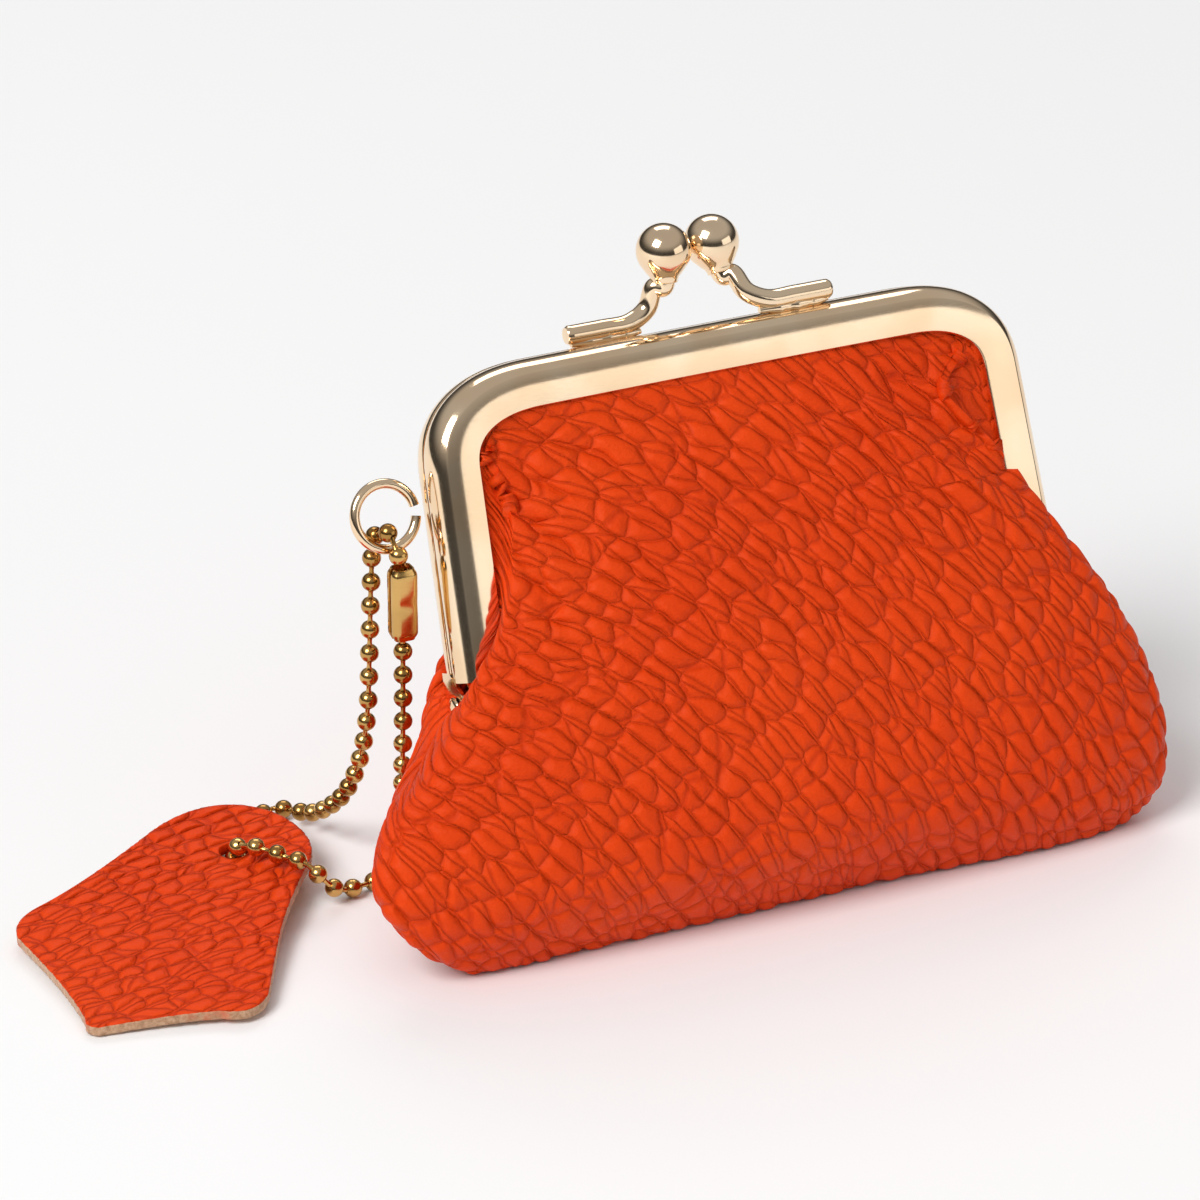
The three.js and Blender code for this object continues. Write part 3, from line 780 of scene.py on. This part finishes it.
def charm_ring():
    angle = RING_GAP + (2 * math.pi - 2 * RING_GAP) * np.linspace(0, 1, 72)
    u = RING_MIDDLE[0] + RING_RADIUS * np.cos(angle)
    v = RING_MIDDLE[1] + RING_RADIUS * np.sin(angle)
    wire = Shape().tube(place(u, v, -HALF_DEPTH / 2), RING_WIRE, 18)
    return wire.made("charm_ring_wire", FRAME_GOLD)


# ---------- leather


def opening(v):
    """Half-width of the leather's free part. Above the flange's lip it lies under the flange."""
    under = smoothstep(v, 33.6, 34.8)
    return half_width_at(v, FLANGE_REACH) * (1 - under) + (half_width_at(v, TUCK) - 0.9) * under


# The outermost line of each panel's bulge, as (v, half-width) pairs, and how far it stands out
# of the seam plane, as (v, w) pairs. A key's first number is 1 for the front and -1 for the
# rear, and its second is -1 for the left and 1 for the right.
BULGE_EDGE = {
    (1, -1): [
        (-37, 39), (-34, 43.5), (-31, 47.8), (-29, 50.6), (-26, 54.0), (-22, 57.2), (-18, 58.8),
        (-14, 58.0), (-10, 55.4), (-5.4, 50.0), (-2, 46.9), (1, 44.2), (3.5, 42.0), (5.6, 40.4),
        (8, 38.4), (13, 35.8), (17.5, 34.2), (24, 32.8), (41, 32),
    ],
    (1, 1): [
        (-37, 37.5), (-34, 41.2), (-32.4, 44.5), (-29.7, 47.8), (-26.6, 49.9), (-22.8, 51.2),
        (-18.4, 51.9), (-13.6, 51.5), (-8, 49.8), (-2, 46.9), (2.6, 44.2), (7.4, 41.2), (12, 38.7),
        (16.7, 36.0), (22, 32.2), (27, 28.6), (31, 27.5), (41, 27),
    ],
    (-1, -1): [
        (-37, 37.0), (-34, 40.3), (-31, 43.6), (-29, 45.6), (-26, 48.2), (-22, 50.6), (-18, 51.8),
        (-15.3, 51.5), (-13, 50.8), (-10.5, 49.7), (-8, 48.6), (-5.7, 47.4), (-3, 46.2), (0, 44.9),
        (3, 43.3), (6, 41.2), (9, 37.6), (12, 35.2), (41, 34),
    ],
    (-1, 1): [
        (-37, 37.5), (-34, 41.2), (-31, 45.8), (-27, 49.2), (-22.8, 50.9), (-18, 51.4),
        (-13, 50.9), (-8, 49.3), (-2, 46.4), (3, 43.6), (6, 41.2), (9, 37.6), (12, 35.2), (41, 34),
    ],
}
REAR_LIFT = [
    (-37, 0.3), (-33, 4.0), (-26, 6.0), (-12, 6.0), (-3, 4.2), (2, 4.6), (8, 5.4), (14, 4.6),
    (20, 3.6), (41, 3.4),
]
BULGE_LIFT = {
    (1, -1): [
        (-37, 0.3), (-33, 2.4), (-26, 4.2), (-12, 5.2), (0, 6.0), (8, 6.4), (16, 6.3), (22, 5.4),
        (28, 3.8), (41, 3.4),
    ],
    (1, 1): [
        (-37, 0.3), (-33, 3.0), (-26, 5.0), (-12, 5.2), (0, 5.8), (8, 6.2), (22, 6.4), (27, 5.6),
        (31, 3.6), (41, 3.4),
    ],
    (-1, -1): REAR_LIFT,
    (-1, 1): REAR_LIFT,
}


def bulge_edge(side, end, v):
    """The bulge's outermost line, drawn in under the flange near the top."""
    inner = opening(v) - 0.8
    free = through(v, *BULGE_EDGE[side, end])
    over = smoothstep(v, 26.5, 33.5) if side * end > 0 else smoothstep(v, 24, 30)
    high = np.minimum(inner, free) * (1 - over) + inner * over
    return np.where(v < 16, free, high)


def belly(side, u, v):
    """How far the panel's middle stands out of the seam plane."""
    if side > 0:
        top = np.clip((v - FRONT_FULL_TO) / (BELLY_TOP - FRONT_FULL_TO), 0, 1)
        full = CHANNEL_DEPTH + FRONT_BELLY * (1 - top**1.6) ** 1.1
        rise = np.clip((v + POUCH_DROP) / FRONT_CURVE_UNDER, 0, 1)
        power = 1.5 - 0.65 * smoothstep(u, 4, 42) - 0.3 * smoothstep(-u, 30, 50)
        return full * np.sin(math.pi / 2 * rise) ** power
    top = np.clip((v - REAR_FULL_TO) / (BELLY_TOP - REAR_FULL_TO), 0, 1)
    full = CHANNEL_DEPTH + REAR_BELLY * (1 - top**1.5) ** 1.1
    rise = np.clip((v + POUCH_DROP) / REAR_CURVE_UNDER, 0, 1)
    return full * np.sqrt(1 - (1 - rise) ** 2)


# The front panel's soft wrinkles, each as (u, v) from and to, width, and height.
FOLDS = [
    ((-33, 31), (-24, 22), 1.3, -0.80),
    ((-34, 27), (-27, 17), 1.2, -0.85),
    ((-30, 33), (-19, 27), 1.5, -0.65),
    ((-34, 20), (-30, 7), 1.2, -0.80),
    ((-30, 30), (-20, 17), 2.4, 0.55),
    ((17, 35), (39, 11), 2.4, -1.0),
    ((12, 35), (35, 8), 2.6, 0.85),
    ((8, 30), (30, -2), 3.0, 0.40),
    ((0, 26), (22, -8), 3.2, -0.35),
    ((-18, 22), (4, -16), 4.0, 0.40),
    ((-8, 28), (14, -12), 3.4, -0.30),
]


def fold_height(u, v):
    total = np.zeros(np.broadcast(u, v).shape)
    for (u0, v0), (u1, v1), width, height in FOLDS:
        du, dv = u1 - u0, v1 - v0
        length = math.hypot(du, dv)
        share = ((u - u0) * du + (v - v0) * dv) / length**2
        off = ((u - u0) * dv - (v - v0) * du) / length
        fade = smoothstep(share, -0.25, 0.2) * (1 - smoothstep(share, 0.75, 1.25))
        total += height * fade * np.exp(-((off / width) ** 2))
    return total


def seam_width(end, v):
    """Half-width of the sewn edge below the hinge, just inside both bulges."""
    return np.minimum(bulge_edge(1, end, v), bulge_edge(-1, end, v)) - 1.1


def panel_rows(count):
    """Heights of the panel's rows, close together where it curves under."""
    turn = np.linspace(0, math.pi / 2, count // 3)
    low = -POUCH_DROP + (POUCH_DROP - WIDEST_DROP) * (1 - np.cos(turn))
    high = np.linspace(-WIDEST_DROP, FRAME_HEIGHT - TUCK - 0.3, count - len(low) + 1)[1:]
    return np.concatenate([low, high])


def panel_side(side, end, v, face, turn, inset):
    """Columns of one side of a panel, from its middle out to its hidden edge."""
    v = v[:, None]
    edge = bulge_edge(side, end, v) - inset
    lift = through(v, *BULGE_LIFT[side, end]) - inset * (0.5 + 0.5 * smoothstep(v, 0, 8))
    phi = np.linspace(0, math.pi / 2, face)[None, :]
    u = edge * np.sin(phi)
    middle = belly(side, end * u, v) - inset
    share = 0.62 + 0.38 * smoothstep(v, 0, 20)
    lift = np.minimum(lift, share * np.maximum(middle[:, :1], 0.4))
    crown = np.maximum(middle, lift) + 0.06 * np.clip(v + POUCH_DROP, 0, 5)
    fullness = (0.82 if side > 0 else 1.2) + 1.2 * smoothstep(v, 14, 26)
    w = lift + (crown - lift) * np.cos(phi) ** fullness
    at_frame = smoothstep(v, -2, 4.5)
    rest_u = opening(v) - 0.4 - inset
    rest_u = at_frame * rest_u + (1 - at_frame) * (seam_width(end, v) - inset)
    over = smoothstep(edge - rest_u, 0, 0.6) * at_frame
    rest_w = at_frame * (3.35 + 0.75 * over) + (1 - at_frame) * 0.25
    rest_w = np.minimum(rest_w, np.maximum(lift, 0.25)) if inset == 0 else np.minimum(rest_w, lift)
    psi = np.linspace(0, 1, turn)[None, 1:]
    back_u = edge + (rest_u - edge) * psi**2.4
    back_w = rest_w + (lift - rest_w) * (1 - psi) ** 1.7
    hidden_u = at_frame * np.maximum(half_width_at(v, TUCK), rest_u) + (1 - at_frame) * (rest_u - 0.9)
    hidden_w = at_frame * (CHANNEL_DEPTH - inset) + (1 - at_frame) * 0.25
    mid_u = rest_u + (hidden_u - rest_u) * 0.3
    u = np.concatenate([u, back_u, mid_u, hidden_u], 1)
    w = np.concatenate([w, back_w, np.minimum(rest_w, hidden_w), hidden_w], 1)
    return end * u, w


def panel_grid(side, rows, face, turn, inset=0.0):
    """The panel's surface as rows of (u, v, w), left to right, before it is set on the floor."""
    v = panel_rows(rows)
    left_u, left_w = panel_side(side, -1, v, face, turn, inset)
    right_u, right_w = panel_side(side, 1, v, face, turn, inset)
    u = np.concatenate([left_u[:, :0:-1], right_u], 1)
    w = np.concatenate([left_w[:, :0:-1], right_w], 1)
    v = np.broadcast_to(v[:, None], u.shape)
    if side > 0:
        w = w + fold_height(u, v) * smoothstep(w, CHANNEL_DEPTH + 0.3, CHANNEL_DEPTH + 2)
    upright = 1 - smoothstep(v, -22, 0)
    out = side * w
    on_floor = (FLOOR_CLEARANCE - HINGE_HEIGHT) / math.cos(LEAN)
    return u, np.maximum(v, on_floor) - out * math.tan(LEAN) * upright, out


def set_on_floor(points, clearance):
    """The points, raised softly where they would be nearer to the floor than the clearance."""
    points = points.copy()
    low = clearance * MM
    soft = FLOOR_SOFTNESS * MM
    gap = points[..., 2] - low
    points[..., 2] = low + 0.5 * (gap + np.sqrt(gap**2 + soft**2))
    return points


def flow_grain(points, side):
    """Coordinates for the leather's cells: along and across the way the hide stretches."""
    step_u = np.linalg.norm(np.diff(points, axis=1), axis=2) / MM
    step_v = np.linalg.norm(np.diff(points, axis=0), axis=2) / MM
    a = np.pad(np.cumsum(step_u, 1), ((0, 0), (1, 0)))
    a = a - a[:, a.shape[1] // 2][:, None]
    b = np.pad(np.cumsum(step_v, 0), ((1, 0), (0, 0)))
    middle = points.shape[1] // 2
    b = 0.6 * b + 0.4 * b[:, middle][:, None]
    turn = np.radians(60 + 0.10 * a - 0.12 * (b - 45)) if side > 0 else np.radians(80)
    across = a * np.sin(np.radians(60)) + b * np.cos(turn)
    down = a * np.cos(np.radians(60)) - b * np.sin(turn)
    return np.stack([across / CELL_ACROSS, down / CELL_DOWN, np.zeros_like(a)], -1)


def store(piece, name, values, kind="FLOAT_VECTOR"):
    attribute = piece.data.attributes.new(name, kind, "POINT")
    key = "vector" if kind == "FLOAT_VECTOR" else "value"
    attribute.data.foreach_set(key, np.asarray(values, np.float32).ravel())


def relief_group():
    """Geometry nodes that raise the leather's cells along its normals."""
    tree = bpy.data.node_groups.new("leather_relief", "GeometryNodeTree")
    tree.interface.new_socket("Geometry", in_out="INPUT", socket_type="NodeSocketGeometry")
    tree.interface.new_socket("Geometry", in_out="OUTPUT", socket_type="NodeSocketGeometry")
    nodes = Nodes(tree)
    source = nodes.add("NodeGroupInput")
    target = tree.nodes.new("NodeGroupOutput")
    grain = nodes.add("GeometryNodeInputNamedAttribute", {"Name": "grain"}, data_type="FLOAT_VECTOR")
    amount = nodes.add("GeometryNodeInputNamedAttribute", {"Name": "relief"}, data_type="FLOAT")
    height, _ = cell_pattern(nodes, grain)
    lift = nodes.math("MULTIPLY", nodes.math("SUBTRACT", height, 0.62), amount)
    normal = nodes.add("GeometryNodeInputNormal")
    offset = nodes.add("ShaderNodeVectorMath", {}, {0: normal, "Scale": lift}, operation="SCALE")
    moved = nodes.add("GeometryNodeSetPosition", {}, {"Geometry": source, "Offset": offset})
    tree.links.new(moved, target.inputs[0])
    return tree


RELIEF = relief_group()


def thicken(piece, thickness):
    """Gives a surface a thickness in millimetres, inwards."""
    solid = piece.modifiers.new("thickness", "SOLIDIFY")
    solid.thickness = thickness * MM
    solid.offset = -1
    return piece


def apply_relief(piece, thickness=0):
    """Makes the relief, and the thickness if any, part of the mesh, all of it above the floor."""
    modifier = piece.modifiers.new("relief", "NODES")
    modifier.node_group = RELIEF
    if thickness:
        thicken(piece, thickness)
    bpy.context.view_layer.update()
    graph = bpy.context.evaluated_depsgraph_get()
    mesh = bpy.data.meshes.new_from_object(piece.evaluated_get(graph))
    piece.modifiers.clear()
    old = piece.data
    piece.data = mesh
    bpy.data.meshes.remove(old)
    points = np.empty(len(mesh.vertices) * 3, np.float32)
    mesh.vertices.foreach_get("co", points)
    points[2::3] = np.maximum(points[2::3], LOWEST_POINT * MM)
    mesh.vertices.foreach_set("co", points)
    mesh.update()
    return piece


def leather_panel(side, rows, face, turn):
    """One leather panel, with its relief fading out at the edges that are sewn or clamped."""
    u, v, w = panel_grid(side, rows, face, turn)
    points = set_on_floor(place(u, v, w), FLOOR_CLEARANCE)
    faces = grid_faces(*u.shape, flip=side < 0)
    piece = add_mesh(f"{HALF_NAME[side]}_leather", points, faces, LEATHER_LOOK, sharp=0)
    store(piece, "grain", flow_grain(points, side))
    columns = np.arange(u.shape[1])
    margin = np.minimum(columns, columns[::-1])[None, :] - 2
    beside_frame = smoothstep(v, 4, 10)
    from_side = smoothstep(margin, turn * 0.4 * beside_frame, turn * (0.7 + 0.9 * beside_frame))
    from_bottom = smoothstep(np.arange(u.shape[0])[:, None], 1, rows * 0.05)
    from_top = 1 - 0.9 * smoothstep(v, 31.0, 34.5)
    store(piece, "relief", PANEL_RELIEF * MM * from_side * from_bottom * from_top, "FLOAT")
    return apply_relief(piece, LEATHER)


def lining_panel(side):
    u, v, w = panel_grid(side, rows=84, face=44, turn=8, inset=LINING_INSET)
    points = set_on_floor(place(u, v, w), FLOOR_CLEARANCE + LINING_INSET)
    faces = grid_faces(*u.shape, flip=side < 0)
    piece = add_mesh(f"{HALF_NAME[side]}_lining_cloth", points, faces, LINING_LOOK, sharp=0)
    store(piece, "grain", flow_grain(points, side) * (CELL_ACROSS, CELL_DOWN, 0))
    return thicken(piece, LINING_SHEET)


def seam_stitches():
    """Short stitches across the groove between the two panels, below the hinge."""
    shape = Shape()
    v = np.linspace(-4, -POUCH_DROP, 400)
    for end in (-1, 1):
        line = np.stack([end * (seam_width(end, v) + 0.1), v], -1)
        for distance in np.arange(2.0, reach_of(line)[-1], STITCH_PITCH):
            u0, v0 = at(line, distance)
            u1, v1 = at(line, distance + STITCH_LENGTH)
            rise = HINGE_HEIGHT + v0 * math.cos(LEAN)
            if rise < 1.2:
                continue
            points = []
            for share in np.linspace(0, 1, 9):
                swell = 0.45 * math.sin(math.pi * share) - 0.25
                height = v0 + (v1 - v0) * share
                points.append(place(u0 + (u1 - u0) * share + end * swell, height, 0.25 - 0.5 * share))
            taper = np.sin(np.linspace(0.35, math.pi - 0.35, 9)) ** 0.5
            shape.tube(points, STITCH_RADIUS * taper, 10)
    return shape.made("seam_stitches", THREAD, 60)


# ---------- chain, connector, tag


def bead_rings(centre, ahead):
    """A hollow bead: a sphere with a small rolled hole at each end."""
    profile = [(LINK_RADIUS * 0.8, -0.93), (LINK_RADIUS * 1.1, -1.04)]
    for c in np.linspace(-0.925, 0.925, 15):
        profile.append((BEAD_RADIUS * math.sqrt(1 - c * c), BEAD_RADIUS * c))
    profile += [(LINK_RADIUS * 1.1, 1.04), (LINK_RADIUS * 0.8, 0.93)]
    return turned(profile, centre, ahead, 22)


def bead_chain(path):
    shape = Shape()
    length = reach_of(path)[-1]
    count = round(length / MM / BEAD_PITCH)
    pitch = length / count
    for centre, ahead in zip(*along(path, pitch * (np.arange(count) + 0.5))):
        shape.rings(bead_rings(centre, ahead))
    inside_bead = 0.9 * MM
    for k in range(count - 1):
        first = pitch * (k + 0.5) + inside_bead
        last = pitch * (k + 1.5) - inside_bead
        link, _ = along(path, np.linspace(first, last, 6))
        neck = LINK_RADIUS * np.array([1.25, 1.0, 0.85, 0.85, 1.0, 1.25])
        shape.tube(link, neck, 12)
    for low, high in ((0, 0.5), (count - 0.5, count)):
        link, _ = along(path, np.linspace(pitch * low, pitch * high, 4))
        shape.tube(link, LINK_RADIUS, 12)
    return shape.made("ball_chain", CHAIN_GOLD, 50)


def connector():
    """A folded sheet round the two end beads, open along one side and drawn in at its ends."""
    half_w, half_d, radius = CONNECTOR_WIDTH / 2, CONNECTOR_DEPTH / 2, 0.9
    corners = [(-1, -1), (1, -1), (1, 1), (-1, 1)]
    outline = [(-half_w, -0.35)]
    for sx, sy in corners:
        turn = math.atan2(sy, sx)
        x, y = sx * (half_w - radius), sy * (half_d - radius)
        for a in np.linspace(turn - math.pi / 4, turn + math.pi / 4, 7):
            outline.append((x + radius * math.cos(a), y + radius * math.sin(a)))
    outline.append((-half_w, 0.35))
    outline = np.array(outline)
    section = np.concatenate([outline, (outline * 0.86)[::-1]])
    top = np.array(CHAIN_ROUTE[0]) + (-0.0001, 0, -0.0003)
    rings = []
    for share in np.linspace(0, 1, 41):
        ends = 1 - 0.22 * np.exp(-((min(share, 1 - share) / 0.05) ** 2))
        waist = 1 - 0.10 * np.exp(-(((share - 0.5) / 0.10) ** 2))
        xy = section * (ends, ends * waist)
        z = -CONNECTOR_LENGTH * share
        rings.append(top + np.column_stack([xy * MM, np.full(len(xy), z * MM)]))
    return Shape().rings(rings, flip=True).made("folded_connector", CHAIN_GOLD, 35)


def quadratic(start, middle, end, count):
    t = np.linspace(0, 1, count, endpoint=False)[:, None]
    start, middle, end = (np.array(k, float) for k in (start, middle, end))
    return (1 - t) ** 2 * start + 2 * t * (1 - t) * middle + t**2 * end


def tag_outline():
    """The tag's cut edge, x towards its tip and y across, from the hole's centre."""
    curves = [
        ((-10.8, -3.0), (-11.0, 1.0), (-9.0, 4.0)),
        ((-9.0, 4.0), (-6.0, 9.0), (-1.0, 10.0)),
        ((-1.0, 10.0), (10.0, 11.2), (16.0, 12.7)),
        ((16.0, 12.7), (22.5, 14.5), (29.0, 16.4)),
        ((29.0, 16.4), (34.0, 17.0), (34.4, 12.5)),
        ((34.4, 12.5), (37.0, 7.0), (42.2, -0.2)),
        ((42.2, -0.2), (42.8, -2.0), (41.0, -2.6)),
        ((41.0, -2.6), (35.0, -7.6), (26.4, -18.1)),
        ((26.4, -18.1), (23.4, -20.4), (20.0, -18.8)),
        ((20.0, -18.8), (12.0, -14.6), (0.0, -12.2)),
        ((0.0, -12.2), (-10.0, -10.4), (-10.8, -3.0)),
    ]
    points = np.concatenate([quadratic(*curve, 30) for curve in curves])
    loop = np.vstack([points, points[:1]])
    return at(loop, np.linspace(0, reach_of(loop)[-1], TAG_OUTLINE_POINTS, endpoint=False))


def leather_tag(hole):
    """The tag: grained above, suede below and on its cut edge."""
    outer = tag_outline()
    angle = np.arctan2(outer[:, 1], outer[:, 0])
    inner = TAG_HOLE_RADIUS * 0.86 * np.stack([np.cos(angle), np.sin(angle)], -1)
    edge = np.linalg.norm(outer, axis=1)[:, None]
    inward = -outer / edge
    place_round = np.arange(TAG_OUTLINE_POINTS)
    rows, look_rows = [], []
    for share in np.linspace(0, 1, TAG_TOP_ROWS):
        flat = inner + (outer + 0.25 * inward - inner) * share
        round_off = 0.16 * max(0.0, 1 - share / 0.012) + 0.10 * max(0.0, (share - 0.985) / 0.015)
        rows.append(np.column_stack([flat, np.full(len(flat), -round_off)]))
        look_rows.append(0)
    for depth in (-0.22, -0.5, -0.85, -1.2, -1.42):
        fray = 0.05 * np.sin(place_round * 2.9 + depth * 7) + 0.04 * np.sin(place_round * 1.3)
        flat = outer + inward * (0.02 + fray[:, None] * 0.8)
        rows.append(np.column_stack([flat, np.full(len(flat), depth)]))
        look_rows.append(1)
    for share in (1, 0.75, 0.5, 0.25, 0):
        flat = inner + (outer + 0.15 * inward - inner) * share
        rows.append(np.column_stack([flat, np.full(len(flat), -TAG_THICKNESS)]))
        look_rows.append(1)
    local = np.array(rows)
    wave = 0.22 * np.sin(local[..., 0] * 0.16 + 0.6) * smoothstep(np.abs(local[..., 1]), 3, 16)
    local[..., 2] += wave
    slope = math.atan(TAG_SLOPE)
    x = local[..., 0] * math.cos(slope) + local[..., 2] * math.sin(slope)
    z = -local[..., 0] * math.sin(slope) + local[..., 2] * math.cos(slope)
    y = local[..., 1]
    c, s = math.cos(TAG_HEADING), math.sin(TAG_HEADING)
    points = np.stack([x * c - y * s, x * s + y * c, z], -1) * MM + np.array(hole)
    count, sides = local.shape[:2]
    shape = Shape().rings(np.swapaxes(points, 0, 1), looped=True, flip=True)
    piece = shape.made("grained_tag", TAG_LOOK, sharp=0)
    piece.data.materials.append(SUEDE)
    row_of = np.tile(np.arange(count), sides)
    looks = []
    for face in piece.data.polygons:
        corners = [look_rows[row_of[k]] for k in face.vertices]
        looks.append(int(np.median(corners) > 0.5))
    piece.data.polygons.foreach_set("material_index", looks)
    lengthwise, across, _ = np.swapaxes(local, 0, 1).reshape(-1, 3).T
    grain = [
        (across * 0.8 + lengthwise * 0.6) / 2.3 + 40,
        (lengthwise * 0.8 - across * 0.6) / 3.4,
        0 * lengthwise,
    ]
    store(piece, "grain", np.stack(grain, -1))
    top = np.array([row < TAG_TOP_ROWS for row in row_of], float)
    rim = smoothstep(row_of, 1, 5) * (1 - smoothstep(row_of, TAG_TOP_ROWS - 6, TAG_TOP_ROWS - 1))
    store(piece, "relief", TAG_RELIEF * MM * top * rim, "FLOAT")
    return apply_relief(piece)


# ---------- the purse's pieces

chain_path = spline(CHAIN_ROUTE)
tag_hole = joints["tag_swivel"]["pos_m"]

tag = leather_tag(tag_hole)
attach(tag, "tag")
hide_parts("leather_tag")

clip = connector()
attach(clip, "root")
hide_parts("chain_connector")

chain = bead_chain(chain_path)
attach(chain, "root")
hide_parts("bead_chain")

for body, name, side in (("front_half", "front", 1), ("root", "rear", -1)):
    for made, node in ((frame_half, "frame"), (clasp_rod, "clasp_rod"), (clasp_ball, "clasp_ball")):
        piece = made(side)
        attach(piece, body)
        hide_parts(f"{name}_{node}")

for end, name in ((-1, "left"), (1, "right")):
    piece = rivet(end)
    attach(piece, "root")
    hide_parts(f"hinge_rivet_{name}")

ring = charm_ring()
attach(ring, "root")
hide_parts("charm_ring")

front = leather_panel(1, rows=250, face=150, turn=24)
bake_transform(front)
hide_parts("front_panel_upper", "front_panel_fold", "front_panel_lower")

front_cloth = lining_panel(1)
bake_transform(front_cloth)
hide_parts("front_lining_upper", "front_lining_fold", "front_lining_lower")

rear = leather_panel(-1, rows=210, face=120, turn=20)
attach(rear, "root")
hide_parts("rear_panel")

rear_cloth = lining_panel(-1)
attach(rear_cloth, "root")
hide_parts("rear_lining")

stitches = seam_stitches()
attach(stitches, "root")
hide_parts("seam_thread")

for name in ("front_packing_cord", "rear_packing_cord"):
    node = frame["nodes"][name]
    node.data.materials.clear()
    node.data.materials.append(PAPER)

# ---------- floor and light


def plain_floor():
    material, nodes, shader = new_material("plain_floor")
    tone = nodes.noise(object_place(nodes), 3, 2)
    white = nodes.mix(tone, (0.93, 0.93, 0.93), (0.96, 0.96, 0.96))
    set_inputs(nodes, shader, colour=white, roughness=0.7, specular=0.1)
    reach = 3.0
    corners = [(-reach, -reach, 0), (reach, -reach, 0), (reach, reach, 0), (-reach, reach, 0)]
    floor = add_mesh("floor", corners, [(0, 1, 2, 3)], material, sharp=0)


def softbox(name, spot, width, height, power):
    """A rectangular light, turned towards the purse. Sizes are in metres, the power in watts."""
    light = bpy.data.lights.new(name, "AREA")
    light.shape = "RECTANGLE"
    light.size = width
    light.size_y = height
    light.energy = power
    lamp = bpy.data.objects.new(name, light)
    lamp.location = spot
    lamp.rotation_mode = "QUATERNION"
    purse = Vector((0, 0, 0.03))
    lamp.rotation_quaternion = (purse - Vector(spot)).to_track_quat("-Z", "Y")
    bpy.context.scene.collection.objects.link(lamp)


def studio():
    plain_floor()
    softbox("key_light", (-1.55, -0.60, 1.75), 1.1, 1.1, 42.0)
    softbox("flange_light", (0.85, -0.95, 0.33), 1.0, 0.5, 1.6)
    softbox("back_light", (0.5, 1.3, 1.5), 1.2, 0.8, 7.0)
    world = bpy.data.worlds.new("studio")
    bpy.context.scene.world = world
    world.use_nodes = True
    nodes = Nodes(world.node_tree)
    direction = nodes.add("ShaderNodeTexCoord", out=0)
    height = nodes.add("ShaderNodeSeparateXYZ", {}, {0: direction}, out=2)
    glow = nodes.remap(height, 0.12, 0.65, 0.05, 0.44)
    background = world.node_tree.nodes["Background"]
    world.node_tree.links.new(glow, background.inputs["Strength"])
    background.inputs["Color"].default_value = (1, 1, 1, 1)
    bpy.context.scene.view_settings.view_transform = "Standard"


studio()
